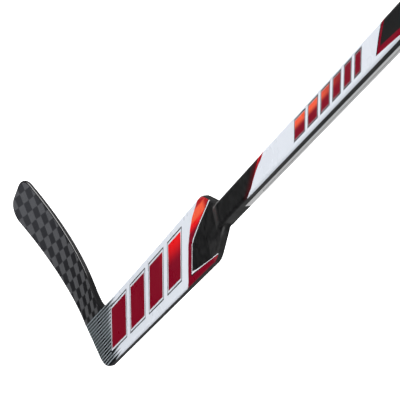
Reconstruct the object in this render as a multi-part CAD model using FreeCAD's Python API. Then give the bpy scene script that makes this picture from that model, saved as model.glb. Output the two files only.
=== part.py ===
import FreeCAD, Part
import math
import os
from FreeCAD import Vector

# Ice hockey goalkeeper's stick, standing as it is played: sole on the ice, shaft up towards +X and +Z.
# The blade runs towards -X and bends to the front, which is -Y. Lengths are in millimetres.
# The origin is on the flat of the sole, just outside the joint between blade and paddle.

# Stance
LIE_ANGLE = 63.5            # degrees between the paddle and the ice
SEAM_X = 7.5                # foot of the joint between blade and paddle, along the sole from the origin
HEEL_RISE_ANGLE = 11.0      # degrees by which the sole climbs under the paddle

# Paddle
PADDLE_LENGTH = 634.5       # heel to the start of the shoulder, along the lower edge
PADDLE_WIDTH = 92.0
PADDLE_THICKNESS = 13.0
UPPER_EDGE_BOW = 1.2        # how far the upper edge draws in between crotch and shoulder
HEEL_RADIUS = 60.0
RAIL_WIDTH = 7.0            # solid laminate round the paddle's edges
EDGE_RADIUS = 4.5           # rounding of the paddle's long edges
PADDLE_SKIN = 1.2
SPINE_WIDTH = 5.0           # stiffener along the middle of the foam
HEEL_BLOCK_TOP = 60.0       # how far the solid heel reaches along the paddle's centre line

# Blade
BLADE_REACH = 284.5         # joint to tip of the toe, along the sole
BLADE_HEIGHT = 88.5         # at the toe
BLADE_HEEL_HEIGHT = 92.0    # at the joint
TOE_SWEEP = 68.5            # how far the toe bends to the front
SWEEP_POWER = 1.65          # growth of the bend from joint to toe
TOE_OPENING = 10.5          # degrees that the face leans back at the toe
TOE_LIFT = 3.2              # height of the toe's foot above the ice
SOLE_FLAT = 100.0           # length of the sole from the joint before it climbs to the toe
SOLE_ROCKER = 4000.0        # radius of the sole where the climb starts
TOE_FOOT_RADIUS = 32.0
TOE_TOP_RADIUS = 24.0
CROTCH_WEB = 14.0           # leg of the web between the blade's top and the paddle
WEB_ANGLE = 35.0            # degrees by which that web climbs from the blade's top
WEB_RADIUS = 30.0
BLADE_MID_THICKNESS = 8.5
BLADE_TOE_THICKNESS = 6.0
ROOT_FLARE = 75.0           # length over which the root thins from the paddle's thickness
BLADE_SKIN = 1.0
BLADE_EDGE_WIDTH = 4.5      # solid laminate round the blade's edges
BLADE_EDGE_RADIUS = 2.6
RIB_WIDTH = 3.0             # web between the two foam halves
RIB_HEIGHT = 42.0           # middle of that web above the ice

# Shaft
SHAFT_LENGTH = 778.0        # shoulder's end to butt end
SHAFT_WIDTH = 31.0
SHAFT_THICKNESS = 21.0
SHAFT_CORNER = 4.0
SHAFT_WALL = 1.8
SHAFT_DROP = 0.5            # how far the shaft's axis lies below the paddle's middle
SHOULDER_LENGTH = 76.0      # on the upper side
UNDER_SHOULDER_LENGTH = 82.0    # on the lower side, where the taper would run out inside the sleeve
SHOULDER_BLEND = 0.25       # share of the shoulder's taper that each of its rounded ends takes
SHOULDER_LIP = 0.5          # wall of the shoulder shells where they run out on the shaft
SHOULDER_RAMP = 42.0        # length over which the shoulder's ridge gains the shaft's thickness
SLEEVE_LENGTH = 3.0         # reach of the shaft's tube into the shoulder
RIDGE_DIP = 1.5             # how far the ridge starts below the shoulder's face
CORNER_LIMIT = 0.4          # largest rounding of a section, as a share of its thickness
TENON_DEPTH = 100.0         # reach of the tenon into the paddle
TANG_WIDTH = 24.0           # of the tenon's stretch in the paddle
SPIGOT_LENGTH = 90.0        # reach of the tenon into the shaft
BUTT_FLANGE = 4.0
BUTT_SPIGOT = 36.0

# Printed films
FILM = 0.2
SHAFT_FILM_DEPTH = 3.0      # how far the shaft's face films turn round its corners
PANEL_FOOT = 148.5          # middle of the slanted foot of the shaft's face films, from the shoulder's end
PANEL_SLANT = 62.0          # difference in length between the two edges at the foot
BREAK_SLANT = 23.0
STRIP_FOOT = 69.0           # start of the strip on the shaft's under side, from the shoulder's end
STRIP_WIDTH = 8.0
STRIP_OFFSET = 3.5          # middle of the strip behind the middle of the side
BUTT_MARGIN = 6.0           # bare shaft between the films and the butt end
TOP_FILM_LENGTH = 220.0     # upper face films, down to the middle of the slanted break

# Numbers that shape the surfaces
STATIONS = 18               # control rows along the blade
ROWS = 6                    # control rows up the blade
SHOULDER_SECTIONS = 12
FAR = 400.0                 # reach of the cutting blocks
OVERLAP = 30.0              # how far raw layers run past what cuts them
TOLERANCE = 0.01            # places closer than this are the same

LIE = math.radians(LIE_ANGLE)
SOLE_TURN = math.radians(LIE_ANGLE - HEEL_RISE_ANGLE)
HALF_WIDTH = PADDLE_WIDTH / 2
HALF_THICK = PADDLE_THICKNESS / 2
AXIS_X = SEAM_X + HALF_WIDTH / math.sin(LIE)
SEAM_S = -HALF_WIDTH / math.tan(LIE)
HEEL_S = HALF_WIDTH / math.tan(LIE)
SHOULDER_S = HEEL_S + PADDLE_LENGTH
SHAFT_S = SHOULDER_S + SHOULDER_LENGTH
TUBE_S = SHAFT_S - SLEEVE_LENGTH
RIDGE_S = TUBE_S - SHOULDER_RAMP
BUTT_S = SHAFT_S + SHAFT_LENGTH
TANG_S = SHOULDER_S - TENON_DEPTH


def bar_frame():
    """Matrix from (along the shaft, towards its upper edge, out of its front) to the stick's frame."""
    return FreeCAD.Matrix(math.cos(LIE), -math.sin(LIE), 0, AXIS_X,
                          0, 0, -1, 0,
                          math.sin(LIE), math.cos(LIE), 0, 0,
                          0, 0, 0, 1)


def blade_frame():
    """Matrix from (along the sole to the toe, up, to the back) to the stick's frame."""
    return FreeCAD.Matrix(-1, 0, 0, SEAM_X,
                          0, 0, 1, 0,
                          0, 1, 0, 0,
                          0, 0, 0, 1)


def corner_ends(before, here, after, radius):
    """Start, middle and end of the arc that rounds one corner."""
    back = (before - here).normalize()
    ahead = (after - here).normalize()
    half = back.getAngle(ahead) / 2
    reach = radius / math.tan(half)
    middle = (back + ahead).normalize() * (radius / math.sin(half) - radius)
    return here + back * reach, here + middle, here + ahead * reach


def side_edge(start, end, bow):
    """Straight side, or a shallow arc that stands off the straight line by bow, to the left."""
    if bow == 0:
        return Part.LineSegment(start, end).toShape()
    run = end - start
    left = Vector(-run.y, run.x, 0).normalize()
    return Part.Arc(start, (start + end) * 0.5 + left * bow, end).toShape()


def outline(corners):
    """Closed wire through (x, y, radius of the corner, bow of the side that leaves it)."""
    points = [Vector(x, y, 0) for x, y, _, _ in corners]
    count = len(points)
    arcs = []
    for i, (_, _, radius, _) in enumerate(corners):
        if radius > 0:
            arcs.append(corner_ends(points[i - 1], points[i], points[(i + 1) % count], radius))
        else:
            arcs.append((points[i], None, points[i]))
    edges = []
    for i in range(count):
        start, middle, end = arcs[i]
        if middle is not None:
            edges.append(Part.Arc(start, middle, end).toShape())
        edges.append(side_edge(end, arcs[(i + 1) % count][0], corners[i][3]))
    return Part.Wire(edges)


def prism(corners, low, high):
    """Outline extruded along the third axis from low to high."""
    face = Part.Face(outline(corners))
    face.translate(Vector(0, 0, low))
    return face.extrude(Vector(0, 0, high - low))


def block(x0, x1, y0, y1, z0, z1):
    """Box between two corners."""
    return Part.makeBox(x1 - x0, y1 - y0, z1 - z0, Vector(x0, y0, z0))


def rounded_bar(s0, s1, width, thick, radius):
    """Bar on the shaft's axis with a rounded rectangular section."""
    face = Part.Face(section_wire(s0, -width / 2 - SHAFT_DROP, width / 2 - SHAFT_DROP, thick, radius))
    return face.extrude(Vector(s1 - s0, 0, 0))


def section_wire(s, low, high, thick, radius):
    """Rounded rectangle across the shaft at one place along it, between a lower and an upper edge."""
    t = thick / 2
    corner = min(radius, CORNER_LIMIT * thick)
    wire = outline([(high, t, corner, 0), (low, t, corner, 0), (low, -t, corner, 0), (high, -t, corner, 0)])
    turn = FreeCAD.Matrix(0, 0, 1, s, 1, 0, 0, 0, 0, 1, 0, 0, 0, 0, 0, 1)
    return wire.transformed(turn)


def round_long_edges(solid, radius, is_outer):
    """Solid with the edges rounded that run along its faces where the test holds."""
    chosen = []
    for edge in solid.Edges:
        middle = edge.valueAt((edge.FirstParameter + edge.LastParameter) / 2)
        level = abs(edge.Vertexes[0].Point.z - edge.Vertexes[-1].Point.z) < TOLERANCE
        if level and is_outer(middle):
            chosen.append(edge)
    return solid.makeFillet(radius, chosen)


def sole_s(y, inset):
    """Place along the paddle where the sole, moved in by inset, crosses a given height of the bar."""
    return SEAM_S + (HALF_WIDTH - y) / math.tan(SOLE_TURN) + inset / math.sin(SOLE_TURN)


def heel_reach():
    """Length of the lower edge that the heel's arc takes up."""
    return HEEL_RADIUS / math.tan((math.pi - SOLE_TURN) / 2)


def heel_end_s():
    """Place along the lower edge where the heel's arc ends."""
    return sole_s(-HALF_WIDTH, 0) + heel_reach()


def crotch_s():
    """Place along the upper edge where the web of the blade ends."""
    climb = math.radians(WEB_ANGLE)
    return SEAM_S + BLADE_HEEL_HEIGHT / math.sin(LIE) + CROTCH_WEB * math.sin(climb) / math.sin(LIE - climb)


def paddle_corners(inset, end_s):
    """Outline of the paddle from the sole to end_s, moved in from its edges by inset."""
    high = HALF_WIDTH - inset
    return [(sole_s(high, inset), high, 0, 0),
            (sole_s(-high, inset), -high, HEEL_RADIUS - inset, 0),
            (end_s, -high, 0, 0),
            (end_s, high, 0, UPPER_EDGE_BOW),
            (crotch_s(), high, 0, 0)]


def paddle_layer(inset, low, high):
    """Paddle's plan at some depth, in the bar's frame."""
    return prism(paddle_corners(inset, SHOULDER_S), low, high)


def upper_rail():
    """Laminate along the upper edge: straight and square at the joint, bowed and rounded above it."""
    high = HALF_WIDTH
    low = HALF_WIDTH - RAIL_WIDTH
    foot = rounded_heel().common(block(-FAR, crotch_s(), low, FAR, -FAR, FAR))
    arm = prism([(crotch_s(), low, 0, -UPPER_EDGE_BOW), (SHOULDER_S, low, 0, 0),
                 (SHOULDER_S, high, 0, UPPER_EDGE_BOW), (crotch_s(), high, 0, 0)], -HALF_THICK, HALF_THICK)
    middle_s = (crotch_s() + SHOULDER_S) / 2

    def is_outer(point):
        return abs(point.x - middle_s) < TOLERANCE and point.y > high - UPPER_EDGE_BOW - RAIL_WIDTH / 2
    return foot.fuse(round_long_edges(arm, EDGE_RADIUS, is_outer)).removeSplitter()


def under_rail():
    """Laminate along the lower edge, from the heel's arc to the shoulder."""
    solid = block(heel_end_s(), SHOULDER_S, -HALF_WIDTH, RAIL_WIDTH - HALF_WIDTH, -HALF_THICK, HALF_THICK)
    middle_s = (heel_end_s() + SHOULDER_S) / 2

    def is_outer(point):
        return abs(point.x - middle_s) < TOLERANCE and point.y < -HALF_WIDTH + RAIL_WIDTH / 2
    return round_long_edges(solid, EDGE_RADIUS, is_outer)


def rounded_heel():
    """Paddle's plan with the edges of its sole and of its heel rounded."""
    whole = prism(paddle_corners(0, SHOULDER_S), -HALF_THICK, HALF_THICK)
    centre = Vector(heel_end_s(), HEEL_RADIUS - HALF_WIDTH, 0)

    def is_outer(point):
        flat = Vector(point.x, point.y, 0)
        on_arc = abs(flat.distanceToPoint(centre) - HEEL_RADIUS) < TOLERANCE and point.x < heel_end_s()
        on_sole = abs(point.x - sole_s(point.y, 0)) < TOLERANCE
        return on_arc or on_sole
    return round_long_edges(whole, EDGE_RADIUS, is_outer)


def heel_edge():
    """Laminate round the heel, from the upper rail along the sole and up to the lower rail."""
    inner = HALF_WIDTH - RAIL_WIDTH
    ring = rounded_heel().cut(paddle_layer(RAIL_WIDTH, -FAR, FAR))
    return ring.common(block(-FAR, heel_end_s(), -FAR, inner, -FAR, FAR))


def tenon():
    """Solid tongue that joins shaft and paddle: a tang in the foam and a spigot in the tube."""
    depth = HALF_THICK - PADDLE_SKIN
    tang = block(TANG_S, TUBE_S, -TANG_WIDTH / 2 - SHAFT_DROP, TANG_WIDTH / 2 - SHAFT_DROP, -depth, depth)
    spigot = rounded_bar(TUBE_S, TUBE_S + SPIGOT_LENGTH, SHAFT_WIDTH - 2 * SHAFT_WALL,
                         SHAFT_THICKNESS - 2 * SHAFT_WALL, SHAFT_CORNER - SHAFT_WALL)
    return tang.fuse(spigot)


def paddle_nodes():
    """Pieces of the paddle, in the bar's frame."""
    depth = HALF_THICK - PADDLE_SKIN
    foam = paddle_layer(RAIL_WIDTH, -depth, depth)
    heel = foam.common(block(-FAR, HEEL_BLOCK_TOP, -FAR, FAR, -FAR, FAR))
    foam = foam.cut(block(-FAR, HEEL_BLOCK_TOP, -FAR, FAR, -FAR, FAR)).cut(tenon())
    spine = block(HEEL_BLOCK_TOP, TANG_S, -SPINE_WIDTH / 2, SPINE_WIDTH / 2, -depth, depth)
    foam = foam.cut(spine)
    upper = block(HEEL_BLOCK_TOP, SHOULDER_S, 0, PADDLE_WIDTH, -depth, depth)
    return {
        "paddle_front_skin": paddle_layer(RAIL_WIDTH, depth, HALF_THICK),
        "paddle_back_skin": paddle_layer(RAIL_WIDTH, -HALF_THICK, -depth),
        "paddle_upper_rail": upper_rail(),
        "paddle_under_rail": under_rail(),
        "heel_edge": heel_edge(),
        "heel_block": heel,
        "paddle_foam_upper": foam.common(upper),
        "paddle_foam_lower": foam.cut(upper),
        "paddle_spine": spine,
        "shaft_tenon": tenon(),
    }


def taper(share):
    """Straight run from 0 to 1 with a rounded start and end."""
    share = min(max(share, 0.0), 1.0)
    if share > 0.5:
        return 1 - taper(1 - share)
    slope = 1 / (1 - SHOULDER_BLEND)
    if share < SHOULDER_BLEND:
        return slope * share * share / (2 * SHOULDER_BLEND)
    return slope * (share - SHOULDER_BLEND / 2)


def plate_section(share):
    """Section of the shoulder's plate at a share of its length, until it runs out inside the sleeve."""
    run = share * SHOULDER_LENGTH
    step = HALF_WIDTH - SHAFT_WIDTH / 2 + SHOULDER_LIP
    high = HALF_WIDTH - (step + SHAFT_DROP) * taper(run / SHOULDER_LENGTH)
    low = -HALF_WIDTH + (step - SHAFT_DROP) * taper(run / UNDER_SHOULDER_LENGTH)
    return section_wire(SHOULDER_S + run, low, high, PADDLE_THICKNESS, EDGE_RADIUS)


def ridge_section(share):
    """Section of the ridge that carries the shaft's section down into the shoulder's plate."""
    start = PADDLE_THICKNESS - 2 * RIDGE_DIP
    rise = SHAFT_THICKNESS + 2 * SHOULDER_LIP - start
    low = -SHAFT_WIDTH / 2 - SHOULDER_LIP - SHAFT_DROP
    high = SHAFT_WIDTH / 2 + SHOULDER_LIP - SHAFT_DROP
    thick = start + rise * taper(share)
    return section_wire(RIDGE_S + share * SHOULDER_RAMP, low, high, thick, SHAFT_CORNER + SHOULDER_LIP)


def loft(section):
    """Solid through sections at even shares of a length."""
    last = SHOULDER_SECTIONS - 1
    return Part.makeLoft([section(i / last) for i in range(SHOULDER_SECTIONS)], True, False)


def shoulder_nodes():
    """Two moulded halves that carry the paddle's outline into the shaft, in the bar's frame."""
    sleeve = rounded_bar(TUBE_S, SHAFT_S, SHAFT_WIDTH + 2 * SHOULDER_LIP, SHAFT_THICKNESS + 2 * SHOULDER_LIP,
                         SHAFT_CORNER + SHOULDER_LIP)
    body = loft(plate_section).fuse(loft(ridge_section)).fuse(sleeve)
    bore = rounded_bar(TUBE_S, SHAFT_S + OVERLAP, SHAFT_WIDTH, SHAFT_THICKNESS, SHAFT_CORNER)
    body = body.cut(bore).cut(tenon())
    front = block(-FAR, SHAFT_S + FAR, -FAR, FAR, 0, FAR)
    return {"shoulder_front": body.common(front), "shoulder_back": body.cut(front)}


def shaft_nodes():
    """Hollow shaft and the plug in its butt end, in the bar's frame."""
    end = BUTT_S - BUTT_FLANGE
    inner_width = SHAFT_WIDTH - 2 * SHAFT_WALL
    inner_thick = SHAFT_THICKNESS - 2 * SHAFT_WALL
    inner_corner = SHAFT_CORNER - SHAFT_WALL
    tube = rounded_bar(TUBE_S, end, SHAFT_WIDTH, SHAFT_THICKNESS, SHAFT_CORNER)
    tube = tube.cut(rounded_bar(TUBE_S - OVERLAP, end + OVERLAP, inner_width, inner_thick, inner_corner))
    flange = rounded_bar(end, BUTT_S, SHAFT_WIDTH, SHAFT_THICKNESS, SHAFT_CORNER)
    spigot = rounded_bar(end - BUTT_SPIGOT, end, inner_width, inner_thick, inner_corner)
    return {"shaft_tube": tube, "butt_plug": flange.fuse(spigot)}


def slanted_band(s0, s1, slant0, slant1):
    """Cutting block along the shaft: each slant is the difference in length between its two edges."""
    low = -SHAFT_WIDTH - SHAFT_DROP
    high = SHAFT_WIDTH - SHAFT_DROP
    return prism([(s0 - slant0, low, 0, 0), (s1 - slant1, low, 0, 0),
                  (s1 + slant1, high, 0, 0), (s0 + slant0, high, 0, 0)], -FAR, FAR)


def film_nodes():
    """Printed films on the paddle's faces and on the shaft, in the bar's frame."""
    end = BUTT_S - BUTT_MARGIN
    skin = rounded_bar(SHAFT_S, end, SHAFT_WIDTH + 2 * FILM, SHAFT_THICKNESS + 2 * FILM, SHAFT_CORNER + FILM)
    skin = skin.cut(rounded_bar(SHAFT_S - OVERLAP, BUTT_S, SHAFT_WIDTH, SHAFT_THICKNESS, SHAFT_CORNER))
    depth = SHAFT_THICKNESS / 2 - SHAFT_FILM_DEPTH
    front = block(-FAR, BUTT_S + FAR, -FAR, FAR, depth, FAR)
    back = block(-FAR, BUTT_S + FAR, -FAR, FAR, -FAR, -depth)
    foot = SHAFT_S + PANEL_FOOT
    break_s = end - TOP_FILM_LENGTH
    lower = slanted_band(foot, break_s, PANEL_SLANT, BREAK_SLANT)
    upper = slanted_band(break_s, BUTT_S + FAR, BREAK_SLANT, 0)
    under = -SHAFT_WIDTH / 2 - SHAFT_DROP
    strip = block(SHAFT_S + STRIP_FOOT, end, under - FILM, under,
                  -STRIP_OFFSET - STRIP_WIDTH / 2, -STRIP_OFFSET + STRIP_WIDTH / 2)
    return {
        "paddle_front_film": paddle_layer(EDGE_RADIUS, HALF_THICK, HALF_THICK + FILM),
        "paddle_back_film": paddle_layer(EDGE_RADIUS, -HALF_THICK - FILM, -HALF_THICK),
        "shaft_front_film": skin.common(front).common(lower),
        "shaft_back_film": skin.common(back).common(lower),
        "shaft_top_front_film": skin.common(front).common(upper),
        "shaft_top_back_film": skin.common(back).common(upper),
        "shaft_under_strip": strip,
    }


def blade_share(d):
    """Share of the blade's reach at a distance from the joint."""
    return max(d / BLADE_REACH, 0.0)


def front_depth(d, z):
    """Depth of the blade's front face: it bends to the front and opens towards the toe."""
    sweep = TOE_SWEEP * blade_share(d) ** SWEEP_POWER
    lean = math.tan(math.radians(TOE_OPENING) * blade_share(d))
    return -HALF_THICK - sweep + z * lean


def blade_thickness(d, z):
    """Thickness that runs from the paddle's at the slanted joint down to the toe's."""
    share = blade_share(d)
    plain = BLADE_MID_THICKNESS + (BLADE_TOE_THICKNESS - BLADE_MID_THICKNESS) * share
    from_joint = d + z / math.tan(LIE)
    flare = min(max(1 - from_joint / ROOT_FLARE, 0.0), 1.0)
    return plain + (PADDLE_THICKNESS - plain) * flare * flare


def blade_surface(from_front, skin):
    """Smooth surface over the blade: skin in from its front face, or from its back face."""
    low = -BLADE_HEEL_HEIGHT / math.tan(LIE) - OVERLAP
    high = BLADE_REACH + OVERLAP
    poles = []
    for i in range(STATIONS):
        d = low + (high - low) * i / (STATIONS - 1)
        row = []
        for j in range(ROWS):
            z = -OVERLAP + (BLADE_HEEL_HEIGHT + 2 * OVERLAP) * j / (ROWS - 1)
            depth = front_depth(d, z) + skin
            if not from_front:
                depth = front_depth(d, z) + blade_thickness(d, z) - skin
            row.append(Vector(d, z, depth))
        poles.append(row)
    surface = Part.BSplineSurface()
    degree = 3
    along = list(range(STATIONS - degree + 1))
    up = list(range(ROWS - degree + 1))
    surface.buildFromPolesMultsKnots(poles, ends_of(along, degree), ends_of(up, degree), along, up,
                                     False, False, degree, degree)
    return surface


def ends_of(knots, degree):
    """Knot counts that hold a curve to its end poles."""
    return [degree + 1] + [1] * (len(knots) - 2) + [degree + 1]


def slab(low, high):
    """Solid between two surfaces over the same patch."""
    floor = low.toShape()
    roof = high.toShape()
    sides = [Part.makeRuledSurface(a, b) for a, b in zip(floor.Edges, roof.Edges)]
    shell = Part.makeShell([floor, roof] + sides)
    shell.sewShape()
    solid = Part.makeSolid(shell)
    if solid.Volume < 0:
        solid.reverse()
    return solid


def blade_corners(inset):
    """Outline of the blade seen from the back, running past the joint, moved in by inset."""
    tan_lie = math.tan(LIE)
    toe = BLADE_REACH - inset
    foot = TOE_LIFT + inset
    toe_top = BLADE_HEIGHT - inset
    heel_top = BLADE_HEEL_HEIGHT - inset
    web_start = CROTCH_WEB - heel_top / tan_lie
    climb = math.radians(WEB_ANGLE)
    web_end = web_start - (CROTCH_WEB + OVERLAP) * math.cos(climb)
    web_top = heel_top + (CROTCH_WEB + OVERLAP) * math.sin(climb)
    return [(-FAR, inset, 0, 0),
            (SOLE_FLAT, inset, SOLE_ROCKER, 0),
            (toe, foot, TOE_FOOT_RADIUS - inset, 0),
            (toe, toe_top, TOE_TOP_RADIUS - inset, 0),
            (web_start, heel_top, WEB_RADIUS + inset, 0),
            (web_end, web_top, 0, 0),
            (-FAR, web_top, 0, 0)]


def rounded_rim(solid, radius):
    """Blade with its front and back faces rounded off, but not at the raw end inside the paddle."""
    raw_end = solid.BoundBox.XMin + TOLERANCE
    front_and_back = sorted(solid.Faces, key=lambda face: face.Area)[-2:]
    edges = [edge for face in front_and_back for edge in face.Edges if edge.BoundBox.XMax > raw_end]
    return solid.makeFillet(radius, edges)


def joint_block():
    """Half space on the paddle's side of the joint, in the blade's frame."""
    high = FAR
    lead = high / math.tan(LIE)
    corners = [(lead, -high, 0, 0), (-FAR, -high, 0, 0), (-FAR, high, 0, 0), (-lead, high, 0, 0)]
    return prism(corners, -FAR, FAR)


def blade_nodes():
    """Pieces of the blade, in its own frame."""
    front = blade_surface(True, 0)
    back = blade_surface(False, 0)
    front_inner = blade_surface(True, BLADE_SKIN)
    back_inner = blade_surface(False, BLADE_SKIN)
    inside = prism(blade_corners(BLADE_EDGE_WIDTH), -FAR, FAR)
    paddle_side = joint_block()
    whole = slab(front, back).common(prism(blade_corners(0), -FAR, FAR))
    rim = rounded_rim(whole, BLADE_EDGE_RADIUS).cut(paddle_side).cut(inside)
    foam = slab(front_inner, back_inner).common(inside).cut(paddle_side)
    rib_low = RIB_HEIGHT - RIB_WIDTH / 2
    rib_high = RIB_HEIGHT + RIB_WIDTH / 2
    toe_start = BLADE_REACH - TOE_FOOT_RADIUS
    toe_zone = block(toe_start, FAR, -FAR, FAR, -FAR, FAR)
    rib_zone = block(-FAR, FAR, rib_low, rib_high, -FAR, FAR)
    upper_zone = block(-FAR, FAR, rib_high, FAR, -FAR, FAR)
    top_zone = block(-FAR, toe_start, RIB_HEIGHT, FAR, -FAR, FAR)
    sole_zone = block(-FAR, toe_start, -FAR, RIB_HEIGHT, -FAR, FAR)
    return {
        "blade_front_skin": slab(front, front_inner).common(inside).cut(paddle_side),
        "blade_back_skin": slab(back_inner, back).common(inside).cut(paddle_side),
        "blade_top_edge": rim.common(top_zone),
        "blade_sole_edge": rim.common(sole_zone),
        "blade_toe_edge": rim.common(toe_zone),
        "blade_rib": foam.common(rib_zone),
        "blade_foam_upper": foam.common(upper_zone),
        "blade_foam_lower": foam.cut(rib_zone).cut(upper_zone),
    }


def export(nodes, frame):
    """Write each node in the stick's frame and report its solids and volume."""
    for name, shape in nodes.items():
        placed = shape.transformed(frame)
        solids = placed.Solids
        piece = solids[0] if len(solids) == 1 else Part.makeCompound(solids)
        piece.exportStep(os.path.join("parts", name + ".step"))
        state = "valid" if piece.isValid() else "NOT VALID"
        print(name, len(solids), "solids", round(piece.Volume), "mm3", state)


def main():
    """Build every piece of the stick."""
    os.makedirs("parts", exist_ok=True)
    for nodes in (paddle_nodes(), shoulder_nodes(), shaft_nodes(), film_nodes()):
        export(nodes, bar_frame())
    export(blade_nodes(), blade_frame())


main()
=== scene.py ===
"""Looks of an ice hockey goalkeeper's stick: carbon blade, printed paddle, moulded shoulder and shaft."""
import logging
import math
from dataclasses import dataclass, field
from enum import Enum
from typing import Optional, Sequence, Union

import bmesh
import bpy
import numpy as np
from mathutils import Matrix, Vector
from mathutils.geometry import delaunay_2d_cdt


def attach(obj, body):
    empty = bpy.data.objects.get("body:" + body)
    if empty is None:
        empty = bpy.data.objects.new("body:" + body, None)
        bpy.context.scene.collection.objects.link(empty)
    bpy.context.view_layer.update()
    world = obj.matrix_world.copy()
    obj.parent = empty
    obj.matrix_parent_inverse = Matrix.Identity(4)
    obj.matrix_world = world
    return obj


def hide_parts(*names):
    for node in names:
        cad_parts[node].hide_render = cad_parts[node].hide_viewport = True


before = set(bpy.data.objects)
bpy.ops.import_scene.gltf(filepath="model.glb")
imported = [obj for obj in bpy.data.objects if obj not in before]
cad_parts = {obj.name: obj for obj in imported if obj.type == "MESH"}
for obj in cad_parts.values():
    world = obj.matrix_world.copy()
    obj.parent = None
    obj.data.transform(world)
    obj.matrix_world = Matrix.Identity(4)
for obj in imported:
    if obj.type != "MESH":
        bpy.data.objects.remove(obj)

log = logging.getLogger("stick")

MM = 0.001                      # sizes below are in millimetres, Blender works in metres
BODY = "root"                   # the stick is one rigid body
CLOUD = (0.3, 0.7)              # soft noise mostly lies between these values
WELD = 0.0005                   # points closer than this are the same

Socket = bpy.types.NodeSocket
Material = bpy.types.Material
Point2 = tuple[float, float]
Point3 = tuple[float, float, float]
Colour = tuple[float, float, float]
Value = Union[float, Socket]
Tint = Union[Colour, Socket]


class Side(Enum):
    """Face of the stick: the front looks along -Y, the back along +Y."""

    FRONT = 1.0
    BACK = -1.0

    @property
    def label(self) -> str:
        """Word for the face in the names of pieces."""
        return self.name.lower()


class Zone(Enum):
    """Parts of one printed bar, from its rim inwards."""

    OUTLINE = 0
    KEYLINE = 1
    BODY = 2


def rgba(colour: Colour) -> tuple[float, float, float, float]:
    """Opaque colour for a node's socket."""
    return (*colour, 1.0)


def shade(colour: Colour, share: float) -> Colour:
    """Colour with each part times a share."""
    return tuple(part * share for part in colour)


@dataclass(frozen=True)
class StickFrame:
    """Sizes that the pieces share, and the frame of the straight bar of paddle and shaft.

    A place on the bar is (s, y, n): along the bar from the ice, towards its upper edge, out of its front.
    """

    lie_degrees: float = 63.5
    heel_rise_degrees: float = 11.0
    seam_x: float = 7.5
    paddle_width: float = 92.0
    paddle_thickness: float = 13.0
    paddle_length: float = 634.5
    edge_radius: float = 4.5
    shaft_width: float = 31.0
    shaft_thickness: float = 21.0
    shaft_drop: float = 0.5     # how far the shaft's axis lies below the paddle's middle
    shoulder_length: float = 76.0
    film: float = 0.2
    blade_heel_height: float = 92.0
    web: float = 14.0
    web_degrees: float = 35.0
    panel_foot: float = 148.5
    panel_slope: float = 2.0    # the white field's foot runs this much along the shaft per unit across

    @property
    def lie(self) -> float:
        """Angle between the bar and the ice, in radians."""
        return math.radians(self.lie_degrees)

    @property
    def half_width(self) -> float:
        """Half the paddle's width."""
        return self.paddle_width / 2

    @property
    def half_thick(self) -> float:
        """Half the paddle's thickness."""
        return self.paddle_thickness / 2

    @property
    def axis_x(self) -> float:
        """Where the bar's middle line meets the ice."""
        return self.seam_x + self.half_width / math.sin(self.lie)

    @property
    def seam_s(self) -> float:
        """Foot of the joint between blade and paddle, along the bar."""
        return -self.half_width / math.tan(self.lie)

    @property
    def shoulder_s(self) -> float:
        """Start of the shoulder, along the bar."""
        return self.paddle_length - self.seam_s

    @property
    def shaft_s(self) -> float:
        """End of the shoulder, along the bar."""
        return self.shoulder_s + self.shoulder_length

    @property
    def panel_s(self) -> float:
        """Foot of the shaft's white field on the shaft's middle line, along the bar."""
        return self.shaft_s + self.panel_foot

    @property
    def crotch_s(self) -> float:
        """End of the blade's web on the paddle's upper edge, along the bar.

        Returns:
            The place.
        """
        climb = math.radians(self.web_degrees)
        web = self.web * math.sin(climb) / math.sin(self.lie - climb)
        return self.seam_s + self.blade_heel_height / math.sin(self.lie) + web

    def place(self, s: float, y: float, n: float) -> Vector:
        """Point of the bar in the stick's frame, in metres.

        Args:
            s: Distance along the bar.
            y: Distance from its middle line towards the upper edge.
            n: Distance out of its front.

        Returns:
            The point.
        """
        x = self.axis_x + s * math.cos(self.lie) - y * math.sin(self.lie)
        z = s * math.sin(self.lie) + y * math.cos(self.lie)
        return Vector((x, -n, z)) * MM


STICK = StickFrame()


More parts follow.
